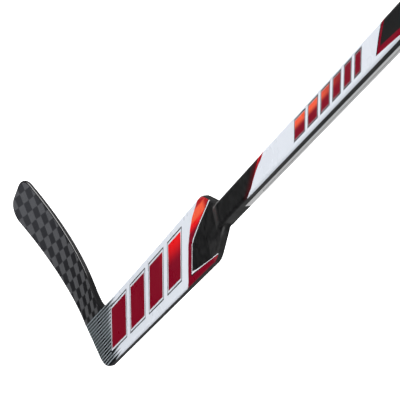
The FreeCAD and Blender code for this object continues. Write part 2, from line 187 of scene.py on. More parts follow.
class Bench:
    """Short hand for laying out one node tree, for shaders and for geometry alike."""

    def __init__(self, tree: bpy.types.NodeTree) -> None:
        """Take the tree to work on."""
        self.tree = tree

    def add(self, kind: str, **settings: object) -> bpy.types.Node:
        """Add a node and set its properties.

        Args:
            kind: Blender's name of the node's type.
            settings: Properties of the node.

        Returns:
            The node.
        """
        node = self.tree.nodes.new(kind)
        for name, value in settings.items():
            setattr(node, name, value)
        return node

    def feed(self, socket: Socket, value: object) -> None:
        """Link another node's output to a socket, or set the socket to a plain value.

        Args:
            socket: Input of a node.
            value: Output socket or plain value.
        """
        if isinstance(value, Socket):
            self.tree.links.new(value, socket)
        else:
            socket.default_value = value

    def step(self, kind: str, feeds: dict[str, object], **settings: object) -> Socket:
        """Add a node and feed its inputs.

        Args:
            kind: Blender's name of the node's type.
            feeds: Value or socket for each named input.
            settings: Properties of the node.

        Returns:
            The node's first output.
        """
        node = self.add(kind, **settings)
        for name, value in feeds.items():
            self.feed(node.inputs[name], value)
        return node.outputs[0]

    def math(self, operation: str, *values: Value) -> Socket:
        """Result of a math node.

        Args:
            operation: Blender's name of the operation.
            values: As many numbers or sockets as it takes.

        Returns:
            The output socket.
        """
        node = self.add("ShaderNodeMath", operation=operation)
        for socket, value in zip(node.inputs, values):
            self.feed(socket, value)
        return node.outputs[0]

    def gather(self, operation: str, terms: Sequence[Value]) -> Socket:
        """Result of one operation over two or more terms, from left to right.

        Args:
            operation: Blender's name of the operation.
            terms: Numbers or sockets.

        Returns:
            The output socket.
        """
        result = terms[0]
        for term in terms[1:]:
            result = self.math(operation, result, term)
        return result

    def total(self, *terms: Value) -> Socket:
        """Sum of the terms."""
        return self.gather("ADD", terms)

    def times(self, *terms: Value) -> Socket:
        """Product of the terms; of masks, where all of them hold."""
        return self.gather("MULTIPLY", terms)

    def least(self, *terms: Value) -> Socket:
        """Smallest of the terms."""
        return self.gather("MINIMUM", terms)

    def most(self, *terms: Value) -> Socket:
        """Largest of the terms; of masks, where any of them holds."""
        return self.gather("MAXIMUM", terms)

    def minus(self, first: Value, second: Value) -> Socket:
        """First less second."""
        return self.math("SUBTRACT", first, second)

    def divide(self, first: Value, second: Value) -> Socket:
        """First over second."""
        return self.math("DIVIDE", first, second)

    def above(self, first: Value, second: Value) -> Socket:
        """Mask of where the first is greater than the second."""
        return self.math("GREATER_THAN", first, second)

    def below(self, first: Value, second: Value) -> Socket:
        """Mask of where the first is less than the second."""
        return self.math("LESS_THAN", first, second)

    def distance(self, first: Value, second: Value) -> Socket:
        """Distance between two numbers."""
        return self.math("ABSOLUTE", self.minus(first, second))

    def spread(self, value: Value, low: float, high: float, start: float = 0.0, end: float = 1.0,
               smooth: bool = False) -> Socket:
        """Map a range of values to another one, clamped.

        Args:
            value: What to map.
            low: Input that gives start.
            high: Input that gives end.
            start: Output at low.
            end: Output at high.
            smooth: Ease in and out.

        Returns:
            The output socket.
        """
        return self.step("ShaderNodeMapRange", {"Value": value, "From Min": low, "From Max": high,
                                                "To Min": start, "To Max": end},
                         interpolation_type="SMOOTHSTEP" if smooth else "LINEAR")

    def curve(self, value: Value, points: Sequence[Point2]) -> Socket:
        """Function through straight runs between points.

        Args:
            value: Where to read it.
            points: (input, output) pairs, in rising order of input.

        Returns:
            The function's value.
        """
        low, high = points[0][0], points[-1][0]
        outputs = [y for _, y in points]
        bottom, top = min(outputs), max(outputs)
        node = self.add("ShaderNodeFloatCurve")
        line = node.mapping.curves[0]
        while len(line.points) < len(points):
            line.points.new(0.5, 0.5)
        for knot, (x, y) in zip(line.points, points):
            knot.location = ((x - low) / (high - low), (y - bottom) / (top - bottom))
            knot.handle_type = "VECTOR"
        node.mapping.update()
        self.feed(node.inputs["Value"], self.spread(value, low, high))
        return self.spread(node.outputs[0], 0.0, 1.0, bottom, top)

    def mix(self, share: Value, first: Tint, second: Tint) -> Socket:
        """Blend of two colours.

        Args:
            share: How much of the second colour shows.
            first: Colour or socket.
            second: Colour or socket.

        Returns:
            The blend.
        """
        node = self.add("ShaderNodeMix", data_type="RGBA")
        self.feed(node.inputs["Factor"], share)
        for socket, value in ((node.inputs[6], first), (node.inputs[7], second)):
            self.feed(socket, value if isinstance(value, Socket) else rgba(value))
        return node.outputs[2]

    def noise(self, place: Socket, scale: float, detail: float = 3.0, rough: float = 0.5) -> Socket:
        """Soft noise from 0 to 1."""
        return self.step("ShaderNodeTexNoise", {"Vector": place, "Scale": scale, "Detail": detail,
                                                "Roughness": rough})

    def split(self, vector: Socket) -> tuple[Socket, Socket, Socket]:
        """Three parts of a vector.

        Args:
            vector: The vector.

        Returns:
            Its x, y and z.
        """
        node = self.add("ShaderNodeSeparateXYZ")
        self.feed(node.inputs[0], vector)
        return node.outputs[0], node.outputs[1], node.outputs[2]

    def join(self, x: Value, y: Value, z: Value) -> Socket:
        """Vector of three parts."""
        return self.step("ShaderNodeCombineXYZ", {"X": x, "Y": y, "Z": z})

    def bump(self, height: Socket, depth: float, strength: float = 1.0) -> Socket:
        """Normal of a bumpy surface; depth is in metres."""
        return self.step("ShaderNodeBump", {"Strength": strength, "Distance": depth, "Height": height})


class Shader(Bench):
    """A material's tree, with its Principled shader and the coordinates that this stick's prints use."""

    def __init__(self, name: str) -> None:
        """Start an empty material.

        Args:
            name: The material's name.
        """
        self.material = bpy.data.materials.new(name)
        self.material.use_nodes = True
        super().__init__(self.material.node_tree)
        self.tree.nodes.clear()
        self.surface = self.add("ShaderNodeBsdfPrincipled")
        output = self.add("ShaderNodeOutputMaterial")
        self.tree.links.new(self.surface.outputs[0], output.inputs["Surface"])

    def set(self, **values: object) -> None:
        """Feed the shader's inputs; an underscore in a name stands for a space."""
        for name, value in values.items():
            self.feed(self.surface.inputs[name.replace("_", " ")], value)

    def object_place(self) -> Socket:
        """Place in the stick's frame, in metres."""
        return self.add("ShaderNodeTexCoord").outputs["Object"]

    def bar_place(self) -> tuple[Socket, Socket, Socket]:
        """Place on the bar in millimetres.

        Returns:
            Distances along the bar, towards its upper edge, and towards the back.
        """
        place = self.step("ShaderNodeMapping", {"Vector": self.object_place(),
                                                "Location": (STICK.axis_x * MM, 0.0, 0.0),
                                                "Rotation": (0.0, -STICK.lie, 0.0),
                                                "Scale": (MM, MM, MM)}, vector_type="TEXTURE")
        along, back, up = self.split(place)
        return along, up, back

    def blade_share(self, reach: Point2, smooth: bool = False) -> Socket:
        """Share of the way between two places along the blade.

        Args:
            reach: The two places along x, in millimetres.
            smooth: Ease in and out.

        Returns:
            The share, clamped.
        """
        x, _, _ = self.split(self.object_place())
        return self.spread(x, reach[0] * MM, reach[1] * MM, smooth=smooth)

    def past_field_foot(self, along: Socket, up: Socket) -> Socket:
        """Distance past the slanted foot of the shaft's white field.

        Args:
            along: Distance along the bar.
            up: Distance towards the upper edge.

        Returns:
            The distance along the bar.
        """
        middle = self.total(up, STICK.shaft_drop)
        return self.minus(along, self.math("MULTIPLY_ADD", middle, STICK.panel_slope, STICK.panel_s))


@dataclass(frozen=True)
class Satin:
    """Satin lacquer, rubber or bare laminate: one colour that varies a little, with a fine grain."""

    name: str
    colour: Colour
    mottle: float = 0.25        # share by which the colour varies
    rough: float = 0.42
    rough_range: float = 0.08
    specular: float = 0.35
    grain_scale: float = 900.0
    grain_detail: float = 4.0
    grain_depth: float = 0.00004
    patch_scale: float = 35.0

    def material(self) -> Material:
        """Build the finish.

        Returns:
            The material.
        """
        shader = Shader(self.name)
        place = shader.object_place()
        patch = shader.noise(place, self.patch_scale)
        grain = shader.noise(place, self.grain_scale, self.grain_detail)
        rough = (self.rough - self.rough_range, self.rough + self.rough_range)
        shader.set(Base_Color=shader.mix(shader.spread(patch, *CLOUD), shade(self.colour, 1 - self.mottle),
                                         shade(self.colour, 1 + self.mottle)),
                   Roughness=shader.spread(patch, *CLOUD, *rough),
                   Specular_IOR_Level=self.specular,
                   Normal=shader.bump(grain, self.grain_depth))
        return shader.material


@dataclass(frozen=True)
class CarbonBlack:
    """Black of bare moulded carbon, with faint patches."""

    deep: Colour = (0.0055, 0.0055, 0.0060)
    pale: Colour = (0.0172, 0.0172, 0.0180)
    patch_scale: float = 110.0
    reach: Point2 = (0.36, 0.64)

    def colour(self, shader: Shader) -> Socket:
        """Colour at each place of the object."""
        patch = shader.noise(shader.object_place(), self.patch_scale)
        return shader.mix(shader.spread(patch, *self.reach), self.deep, self.pale)


@dataclass(frozen=True)
class EdgeLacquer:
    """Clear lacquer on the blade's black edge, made dull and less specular where the blade runs into the
    paddle, as painted shade from the paddle.
    """

    dark: Colour = (0.007, 0.007, 0.008)
    pale: Colour = (0.012, 0.012, 0.013)
    patch_scale: float = 35.0
    root_shade_reach: Point2 = (-14.0, -44.0)     # along x, where the edge is all in painted shade (dull) and where it is all glossy
    rough: Point2 = (0.45, 0.17)            # in the painted shade and out of it
    specular: Point2 = (0.10, 0.62)

    def material(self) -> Material:
        """Build the finish.

        Returns:
            The material.
        """
        shader = Shader("carbon_edge")
        # painted shade: gloss and specular fall towards the root, where the paddle shades the edge
        out_of_shade = shader.blade_share(self.root_shade_reach, smooth=True)
        patch = shader.noise(shader.object_place(), self.patch_scale)
        shader.set(Base_Color=shader.mix(shader.spread(patch, *CLOUD), self.dark, self.pale),
                   Roughness=shader.spread(out_of_shade, 0.0, 1.0, *self.rough),
                   Specular_IOR_Level=shader.spread(out_of_shade, 0.0, 1.0, *self.specular))
        return shader.material


@dataclass(frozen=True)
class Palette:
    """Colours of the prints, as light reflected."""

    white: Colour = (0.78, 0.82, 0.89)
    heel_grey: Colour = (0.33, 0.37, 0.40)
    heel_line: Colour = (0.005, 0.007, 0.008)
    crimson: Colour = (0.225, 0.002, 0.016)
    red: Colour = (0.86, 0.010, 0.013)
    orange: Colour = (0.95, 0.125, 0.055)
    rim_red: Colour = (0.46, 0.008, 0.014)
    key: Colour = (0.86, 0.87, 0.92)
    black: Colour = (0.0122, 0.0122, 0.0128)
    hairline: Colour = (0.012, 0.012, 0.016)


INKS = Palette()


@dataclass(frozen=True)
class PrintSheen:
    """Gloss of the printed films: clear lacquer with a slight orange peel."""

    rough_white: float = 0.30
    rough_black: float = 0.32
    rough_drift: float = 0.05
    smear_scale: float = 22.0
    specular: float = 0.30
    peel_scale: float = 260.0
    peel_depth: float = 0.00003
    detail: float = 2.0

    def coat(self, shader: Shader, colour: Socket, black: Optional[Socket] = None,
             dull: Value = 0.0) -> None:
        """Finish a print's shader.

        Args:
            shader: The print's shader.
            colour: Its colour.
            black: Mask of black lacquer, if the print has any.
            dull: Roughness added to it.
        """
        place = shader.object_place()
        smear = shader.noise(place, self.smear_scale, self.detail)
        drift = shader.spread(smear, *CLOUD, -self.rough_drift, self.rough_drift)
        level = self.rough_white
        if black is not None:
            level = shader.spread(black, 0.0, 1.0, self.rough_white, self.rough_black)
        peel = shader.noise(place, self.peel_scale, self.detail)
        shader.set(Base_Color=colour, Roughness=shader.total(level, drift, dull),
                   Specular_IOR_Level=self.specular, Normal=shader.bump(peel, self.peel_depth))


SHEEN = PrintSheen()


@dataclass(frozen=True)
class HeelLines:
    """Fine dark lines over the grey heel, which fan out towards the sole and fade into the white field."""

    pitch: float = 5.57         # at the sole
    rise: float = 0.0104        # how much a line climbs towards the upper edge, per unit along the bar
    fan: float = 0.000088       # growth of the number of lines per unit across, per unit along the bar
    phase: float = 0.08
    share: float = 0.66         # of the pitch that a line fills
    fade: Point2 = (108.0, 168.0)
    late_from: float = 5.0      # towards the upper edge from here, the lines fade later
    lag: float = 0.020
    grey_reach: Point2 = (108.0, 162.0)

    def colour(self, shader: Shader, along: Socket, up: Socket) -> Socket:
        """Colour of the white field with the heel's lines.

        Args:
            shader: The print's shader.
            along: Distance along the bar.
            up: Distance towards the upper edge.

        Returns:
            The colour.
        """
        beyond = shader.most(shader.minus(up, self.late_from), 0.0)
        place = shader.minus(along, shader.times(beyond, beyond, self.lag))
        pale = shader.mix(shader.spread(place, *self.grey_reach, smooth=True), INKS.heel_grey, INKS.white)
        density = shader.math("MULTIPLY_ADD", along, self.fan, 1 / self.pitch)
        slide = shader.math("MULTIPLY_ADD", along, -self.rise / self.pitch, self.phase)
        phase = shader.math("FRACT", shader.math("MULTIPLY_ADD", up, density, slide))
        away = shader.distance(phase, 0.5)
        width = shader.spread(place, *self.fade, self.share / 2, 0.0)
        return shader.mix(shader.below(away, width), pale, INKS.heel_line)


@dataclass(frozen=True)
class PaddlePrint:
    """Print of the paddle and shoulder: heel lines, white field, chevron, flash and black panel.

    Edges are given in bar coordinates: the chevron's outer edge and the panel's edge as (y, s), the panel's
    lower edge as (s, y). The flash's colours follow each other across the bar.
    """

    heel: HeelLines = field(default_factory=HeelLines)
    outer_edge: Sequence[Point2] = ((-46.2, 531.0), (-44.7, 543.0), (-41.5, 550.5), (-26.0, 560.0),
                                    (2.0, 580.0), (19.0, 600.0), (30.0, 617.5), (38.5, 640.0), (48.0, 665.0))
    inner_edge: Sequence[Point2] = ((-58.0, 557.0), (-30.0, 577.0), (-1.5, 597.5), (4.0, 611.0),
                                    (13.2, 641.0), (26.5, 693.0), (48.0, 740.0))
    lower_edge: Sequence[Point2] = ((550.0, -30.0), (580.0, -33.7), (600.0, -36.2), (650.0, -39.8),
                                    (664.0, -40.8), (675.0, -40.6), (680.0, -39.6), (681.0, -60.0),
                                    (740.0, -60.0))
    edge_turn: Point2 = (-3.0, 3.0)         # across the paddle, where the panel's edge turns along the bar
    edge_share: Point2 = (0.81, 0.29)       # of the distance along the bar, seen across that edge
    leg_reach: Point2 = (575.0, 690.0)
    leg_share: Point2 = (0.55, 3.6)         # the lower keyline thins out between those places
    key_width: float = 1.85
    hair_width: float = 1.2
    red_reach: Point2 = (11.0, 20.0)
    orange_reach: Point2 = (20.5, 26.5)
    rim_reach: Point2 = (34.5, 38.5)
    tip_reach: Point2 = (664.0, 684.0)
    side_depth: Point2 = (2.9, 5.2)         # the shoulder's sides are black up to here: lower and upper side
    rear_depth: float = 6.2                 # and up to here behind
    dull: float = 0.35                      # roughness added on the shoulder's lower flank
    dull_reach: Point2 = (-18.0, -28.0)
    dull_blend: float = 12.0

    def flash(self, shader: Shader, along: Socket, up: Socket) -> Socket:
        """Colour of the flash: crimson, red, orange, and red again at the rim and tip.

        Args:
            shader: The print's shader.
            along: Distance along the bar.
            up: Distance towards the upper edge.

        Returns:
            The colour.
        """
        colour = shader.mix(shader.spread(up, *self.red_reach, smooth=True), INKS.crimson, INKS.red)
        colour = shader.mix(shader.spread(up, *self.orange_reach, smooth=True), colour, INKS.orange)
        end = shader.most(shader.spread(up, *self.rim_reach, smooth=True),
                          shader.spread(along, *self.tip_reach, smooth=True))
        return shader.mix(end, colour, INKS.rim_red)

    def panel_depth(self, shader: Shader, along: Socket, up: Socket) -> Socket:
        """Distance inside the black panel's edges; negative outside.

        Args:
            shader: The print's shader.
            along: Distance along the bar.
            up: Distance towards the upper edge.

        Returns:
            The distance, which the lower edge stretches towards its tip.
        """
        past_inner = shader.minus(along, shader.curve(up, self.inner_edge))
        slant = shader.spread(up, *self.edge_turn, *self.edge_share)
        above_leg = shader.minus(up, shader.curve(along, self.lower_edge))
        thin = shader.spread(along, *self.leg_reach, *self.leg_share)
        return shader.least(shader.times(past_inner, slant), shader.times(above_leg, thin))

    def side_mask(self, shader: Shader, place: tuple[Socket, Socket, Socket]) -> Socket:
        """Mask of the shoulder's black sides.

        Args:
            shader: The print's shader.
            place: Distances along the bar, towards its upper edge, and towards the back.

        Returns:
            The mask.
        """
        along, up, back = place
        half = STICK.shaft_width / 2
        limit = shader.spread(up, -half, half, *self.side_depth)
        return shader.times(shader.above(along, STICK.shoulder_s),
                            shader.above(back, shader.times(limit, -1.0)),
                            shader.below(back, self.rear_depth))

    def material(self) -> Material:
        """Build the print.

        Returns:
            The material.
        """
        shader = Shader("paddle_print")
        along, up, back = shader.bar_place()
        past_outer = shader.minus(along, shader.curve(up, self.outer_edge))
        depth = self.panel_depth(shader, along, up)
        colour = shader.mix(shader.above(past_outer, 0.0), self.heel.colour(shader, along, up),
                            self.flash(shader, along, up))
        colour = shader.mix(shader.above(depth, -self.key_width - self.hair_width), colour, INKS.hairline)
        colour = shader.mix(shader.above(depth, -self.key_width), colour, INKS.key)
        panel = shader.most(shader.above(depth, 0.0), self.side_mask(shader, (along, up, back)))
        colour = shader.mix(panel, colour, CarbonBlack().colour(shader))
        dull = shader.times(shader.spread(up, *self.dull_reach, 0.0, self.dull, smooth=True),
                            shader.spread(along, STICK.shoulder_s, STICK.shoulder_s + self.dull_blend))
        SHEEN.coat(shader, colour, panel, dull)
        return shader.material


@dataclass(frozen=True)
class ShaftPrint:
    """Print of the shaft's faces: a red flash, a white field, then a black panel in a crimson border.

    The panel's foot is given as (y, s), its border's and its own lower edge as (s, y), and the flash's
    length as (y, length).
    """

    flash: Sequence[Point2] = ((-6.0, 0.0), (-2.0, 1.0), (2.0, 3.0), (5.0, 7.0), (7.5, 12.0), (16.0, 14.0))
    flash_reach: Point2 = (3.0, 14.0)
    foot: Sequence[Point2] = ((-20.0, 1252.0), (-11.0, 1262.0), (0.0, 1273.5), (16.0, 1293.0))
    border_edge: Sequence[Point2] = ((1240.0, -10.6), (1320.0, -14.4), (1500.0, -23.0))
    lower_edge: Sequence[Point2] = ((1240.0, -4.6), (1300.0, -10.0), (1320.0, -11.9), (1500.0, -28.0))
    slant_share: float = 0.65   # of the distance along the bar, seen across the panel's foot
    border: float = 5.6
    hair_width: float = 1.7

    def material(self) -> Material:
        """Build the print.

        Returns:
            The material.
        """
        shader = Shader("shaft_print")
        along, up, _ = shader.bar_place()
        flash = shader.below(shader.past_field_foot(along, up), shader.curve(up, self.flash))
        past_foot = shader.times(shader.minus(along, shader.curve(up, self.foot)), self.slant_share)
        depth = shader.least(past_foot, shader.minus(up, shader.curve(along, self.border_edge)))
        above_edge = shader.minus(up, shader.curve(along, self.lower_edge))
        glow = shader.mix(shader.spread(up, *self.flash_reach), INKS.crimson, INKS.rim_red)
        framed = shader.above(depth, 0.0)
        inked = shader.times(framed, shader.above(past_foot, self.hair_width))
        panel = shader.times(shader.above(depth, self.border), shader.above(above_edge, 0.0))
        colour = shader.mix(flash, INKS.white, glow)
        for mask, ink in ((framed, INKS.hairline), (inked, INKS.crimson), (panel, INKS.black)):
            colour = shader.mix(mask, colour, ink)
        SHEEN.coat(shader, colour, panel)
        return shader.material


@dataclass(frozen=True)
class ShaftPaint:
    """Black lacquer of the tube, with a dark red glow before the white field and the field's drawn-out tip.

    The tip lies on the tube's rounded corner; its edge is given as (y, s).
    """

    glow: float = 34.0
    glow_colour: Colour = (0.070, 0.0025, 0.006)
    glow_overlap: float = 1.0   # how far the glow runs on under the field's film
    line: float = 5.0
    line_rise: Point2 = (-6.0, 10.0)
    face_depth: float = 7.5     # the print is on the broad faces, this far from the middle
    tip_edge: Sequence[Point2] = ((-16.0, 832.0), (-15.6, 836.0), (-15.0, 841.5), (-14.0, 848.0),
                                  (-12.0, 858.0), (-10.0, 864.0), (-9.0, 980.0))
    tip_end: float = 1000.0     # from here to the butt plug the tube is black

    def material(self) -> Material:
        """Build the paint.

        Returns:
            The material.
        """
        shader = Shader("shaft_paint")
        along, up, back = shader.bar_place()
        past = shader.past_field_foot(along, up)
        face = shader.above(shader.math("ABSOLUTE", back), self.face_depth)
        glow = shader.times(shader.spread(past, -self.glow, 0.0, smooth=True), face,
                            shader.below(past, self.glow_overlap))
        line = shader.times(shader.spread(past, -self.line, -self.line / 2), glow)
        hot = shader.mix(shader.spread(up, *self.line_rise), INKS.crimson, INKS.red)
        tip = shader.times(shader.above(along, shader.curve(up, self.tip_edge)),
                           shader.below(along, self.tip_end), face)
        colour = shader.mix(glow, CarbonBlack().colour(shader), self.glow_colour)
        colour = shader.mix(line, colour, hot)
        SHEEN.coat(shader, shader.mix(tip, colour, INKS.white), shader.minus(1.0, tip))
        return shader.material


@dataclass(frozen=True)
class BarInk:
    """Ink of the printed bars: crimson that turns lively at their upper ends, over part of the row."""

    name: str
    hot: Colour
    row: Point2                 # along the bar: where the lively colour is full, and where it has gone
    rise: Point2                # across the bar: where it starts, and where it is full

    def material(self) -> Material:
        """Build the ink.

        Returns:
            The material.
        """
        shader = Shader(self.name)
        along, up, _ = shader.bar_place()
        full, gone = self.row
        share = shader.times(shader.spread(along, gone, full, smooth=True),
                             shader.spread(up, *self.rise, smooth=True))
        SHEEN.coat(shader, shader.mix(share, INKS.crimson, self.hot))
        return shader.material


@dataclass(frozen=True)
class FlatInk:
    """One printed colour, a little uneven, with the films' gloss."""

    name: str
    colour: Colour
    deep_share: float = 0.85
    cloud_scale: float = 60.0
    reach: Point2 = (0.35, 0.65)

    def material(self) -> Material:
        """Build the ink.

        Returns:
            The material.
        """
        shader = Shader(self.name)
        cloud = shader.spread(shader.noise(shader.object_place(), self.cloud_scale), *self.reach)
        SHEEN.coat(shader, shader.mix(cloud, shade(self.colour, self.deep_share), self.colour))
        return shader.material


@dataclass(frozen=True)
class SilverFilm:
    """Pale metallic film of the strip under the shaft, brushed along its length, with a dark pinstripe."""

    pale: Colour = (0.84, 0.84, 0.85)
    dull: Colour = (0.70, 0.70, 0.71)
    stripe: Colour = (0.06, 0.06, 0.065)
    stripe_middle: float = 3.9  # behind the stick's middle plane
    stripe_width: float = 0.7
    stripe_start: float = 860.0
    brush_share: float = 0.004  # how slowly the brushing changes along the shaft, against across it
    brush_scale: float = 3.0
    brush_detail: float = 5.0
    brush_depth: float = 0.00002
    rough: Point2 = (0.28, 0.44)
    metallic: float = 0.25
    specular: float = 0.5

    def material(self) -> Material:
        """Build the film.

        Returns:
            The material.
        """
        shader = Shader("silver_film")
        along, up, back = shader.bar_place()
        brushed = shader.join(shader.times(along, self.brush_share), up, back)
        streak = shader.noise(brushed, self.brush_scale, self.brush_detail)
        stripe = shader.times(shader.below(shader.distance(back, self.stripe_middle), self.stripe_width / 2),
                              shader.above(along, self.stripe_start))
        metal = shader.mix(shader.spread(streak, *CLOUD), self.dull, self.pale)
        shader.set(Base_Color=shader.mix(stripe, metal, self.stripe),
                   Roughness=shader.spread(streak, *CLOUD, *self.rough), Metallic=self.metallic,
                   Specular_IOR_Level=self.specular, Normal=shader.bump(streak, self.brush_depth))
        return shader.material


@dataclass(frozen=True)
class SpreadTow:
    """Wide flat carbon tows in a plain weave, read from the blade's own map in millimetres. The pale and
    dark tows stand partly for the fibres' painted reflection, and their colours darken towards the root as
    painted shade.
    """

    map_name: str = "weave"
    cell: float = 19.0
    phase: Point2 = (0.5047, 0.128)
    # tow colours at the toe, and at the root darkened as painted shade
    pale_toe: Colour = (0.084, 0.086, 0.094)
    pale_root_shaded: Colour = (0.076, 0.077, 0.081)
    dark_toe: Colour = (0.034, 0.035, 0.040)
    dark_root_shaded: Colour = (0.009, 0.009, 0.010)
    root_shade_reach: Point2 = (10.0, -240.0)     # along x, where the root's painted shade and the toe's colours are full
    wander_scale: float = 0.05
    wander_detail: float = 2.0
    wander: float = 0.6                     # how far the tows stray from straight lines
    fibre_pitch: float = 0.35
    fibre_share: float = 0.02               # how slowly the filaments change along a tow
    fibre_rough: float = 0.6
    fibre_reach: Point2 = (0.25, 0.75)
    fibre_light: Point2 = (0.72, 1.28)      # share of the tow's colour between those values: filament texture, partly painted sheen
    fibre_height: float = 0.5               # of the filaments, against the tow's edge
    edge_reach: Point2 = (0.46, 0.5)        # from a cell's middle, where a tow's edge drops
    even_cells: float = 400.0               # keeps the count of cells above zero
    rough: Point2 = (0.40, 0.46)            # dark and pale tows
    specular: float = 0.25
    depth: float = 0.00006
    relief: float = 0.6

    def fibres(self, shader: Shader, across: Socket, along: Socket) -> Socket:
        """Streaks of the filaments in one set of tows.

        Args:
            shader: The weave's shader.
            across: Distance across the tows.
            along: Distance along them.

        Returns:
            Streak noise from 0 to 1.
        """
        streak = shader.join(shader.divide(across, self.fibre_pitch),
                             shader.times(along, self.fibre_share), 0.0)
        return shader.noise(streak, 1.0, rough=self.fibre_rough)

    def material(self) -> Material:
        """Build the weave.

        Returns:
            The material.
        """
        shader = Shader("carbon_weave")
        uv = shader.add("ShaderNodeUVMap", uv_map=self.map_name).outputs[0]
        u, v, _ = shader.split(uv)
        stray = shader.noise(uv, self.wander_scale, self.wander_detail)
        slip = shader.spread(stray, *CLOUD, -self.wander, self.wander)
        column, row = (shader.total(shader.divide(shader.total(axis, slip), self.cell), phase)
                       for axis, phase in zip((u, v), self.phase))
        cells = shader.total(shader.math("FLOOR", column), shader.math("FLOOR", row), self.even_cells)
        over = shader.below(shader.math("MODULO", cells, 2.0), 0.5)
        streak = shader.total(shader.times(over, self.fibres(shader, v, u)),
                              shader.times(shader.minus(1.0, over), self.fibres(shader, u, v)))
        # painted shade: the tows' colours darken from the toe towards the root, the dark tows most
        toe = shader.blade_share(self.root_shade_reach)
        tow = shader.mix(over, shader.mix(toe, self.dark_root_shaded, self.dark_toe),
                         shader.mix(toe, self.pale_root_shaded, self.pale_toe))
        colour = shader.add("ShaderNodeVectorMath", operation="SCALE")
        shader.feed(colour.inputs[0], tow)
        shader.feed(colour.inputs["Scale"], shader.spread(streak, *self.fibre_reach, *self.fibre_light))
        off = shader.most(*(shader.distance(shader.math("FRACT", axis), 0.5) for axis in (column, row)))
        edge = shader.spread(off, *self.edge_reach, 1.0, 0.0, smooth=True)
        height = shader.total(edge, shader.times(streak, self.fibre_height))
        shader.set(Base_Color=colour.outputs[0], Roughness=shader.spread(over, 0.0, 1.0, *self.rough),
                   Specular_IOR_Level=self.specular, Normal=shader.bump(height, self.depth, self.relief))
        return shader.material


class Finishes:
    """Every material of the stick, built once."""

    def __init__(self) -> None:
        """Build the materials."""
        self.weave = SpreadTow().material()
        self.rim = EdgeLacquer().material()
        self.paddle = PaddlePrint().material()
        self.shaft = ShaftPrint().material()
        self.tube = ShaftPaint().material()
        self.black = Satin("black_satin", (0.0085, 0.0085, 0.0095)).material()
        self.rubber = Satin("butt_rubber", (0.014, 0.014, 0.014), rough=0.7, specular=0.25,
                            grain_scale=600.0, grain_depth=0.00012).material()
        self.silver = SilverFilm().material()
        self.paddle_bar = BarInk("paddle_bar_ink", INKS.red, row=(520.0, 430.0),
                                 rise=(-2.0, 26.0)).material()
        self.shaft_bar = BarInk("shaft_bar_ink", INKS.orange, row=(1090.0, 1190.0),
                                rise=(-2.0, 5.0)).material()
        self.outline = FlatInk("outline_ink", INKS.hairline).material()
        self.keyline = FlatInk("keyline_ink", INKS.white).material()
        self.foam = Satin("foam", (0.62, 0.56, 0.40), rough=0.85, grain_scale=400.0,
                          grain_depth=0.0003).material()
        self.laminate = Satin("laminate", (0.05, 0.05, 0.045), rough=0.5, grain_scale=300.0).material()
        self.core = Satin("core_laminate", (0.10, 0.09, 0.06), rough=0.55, grain_scale=300.0).material()


def new_object(name: str, mesh: bpy.types.Mesh) -> bpy.types.Object:
    """Put a mesh into the scene, at the origin.

    Args:
        name: The object's name.
        mesh: Its mesh.

    Returns:
        The object.
    """
    piece = bpy.data.objects.new(name, mesh)
    bpy.context.scene.collection.objects.link(piece)
    return piece


def plain_mesh(bench: bmesh.types.BMesh, name: str) -> bpy.types.Mesh:
    """Turn points and faces into a mesh.

    Args:
        bench: Points and faces, freed here.
        name: The mesh's name.

    Returns:
        The mesh.
    """
    mesh = bpy.data.meshes.new(name)
    bench.to_mesh(mesh)
    bench.free()
    return mesh


def settle(piece: bpy.types.Object) -> None:
    """Turn an object's modifiers into plain mesh and remove them.

    Args:
        piece: The object.
    """
    graph = bpy.context.evaluated_depsgraph_get()
    mesh = bpy.data.meshes.new_from_object(piece.evaluated_get(graph), preserve_all_data_layers=True,
                                           depsgraph=graph)
    raw = piece.data
    piece.modifiers.clear()
    piece.data = mesh
    bpy.data.meshes.remove(raw)
    mesh.name = piece.name


def smooth(mesh: bpy.types.Mesh, crease_degrees: float = 38.0) -> None:
    """Close doubles, turn faces outwards and shade round stretches smoothly.

    Args:
        mesh: The mesh.
        crease_degrees: Edges that turn by more than this stay sharp.
    """
    bench = bmesh.new()
    bench.from_mesh(mesh)
    bmesh.ops.remove_doubles(bench, verts=bench.verts, dist=WELD * MM)
    bmesh.ops.dissolve_degenerate(bench, edges=bench.edges, dist=WELD * MM)
    bmesh.ops.recalc_face_normals(bench, faces=bench.faces)
    bench.to_mesh(mesh)
    bench.free()
    mesh.polygons.foreach_set("use_smooth", [True] * len(mesh.polygons))
    mesh.set_sharp_from_angle(angle=math.radians(crease_degrees))


def new_shell(mesh: bpy.types.Mesh, material: Material, thickness: float) -> bpy.types.Object:
    """Make a thin piece from its outer face.

    Args:
        mesh: The outer face, which looks outwards and names the piece.
        material: Its finish.
        thickness: How thick it gets, inwards.

    Returns:
        The piece, as plain mesh.
    """
    piece = new_object(mesh.name, mesh)
    mesh.materials.append(material)
    wall = piece.modifiers.new("wall", "SOLIDIFY")
    wall.thickness = thickness * MM
    wall.offset = -1.0
    settle(piece)
    smooth(piece.data)
    return piece


def face_outwards(bench: bmesh.types.BMesh, normal: Vector, side: Side) -> None:
    """Turn every face over if one of them looks into the stick."""
    if normal.y * side.value > 0:
        bmesh.ops.reverse_faces(bench, faces=bench.faces)


def deliver(piece: bpy.types.Object, replaced: Sequence[str]) -> None:
    """Hand a finished piece to the frame.

    Args:
        piece: The piece.
        replaced: Construction nodes that it stands for.
    """
    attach(piece, BODY)
    if replaced:
        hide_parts(*replaced)
    log.info("%s: %d faces, stands for %s", piece.name, len(piece.data.polygons), replaced or "no node")


def dress(node: str, material: Material) -> None:
    """Give a construction node that stays in view its finish.

    Args:
        node: The node's name.
        material: The finish.
    """
    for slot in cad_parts[node].material_slots:
        slot.material = material
    log.info("%s: keeps its solid, finish %s", node, material.name)


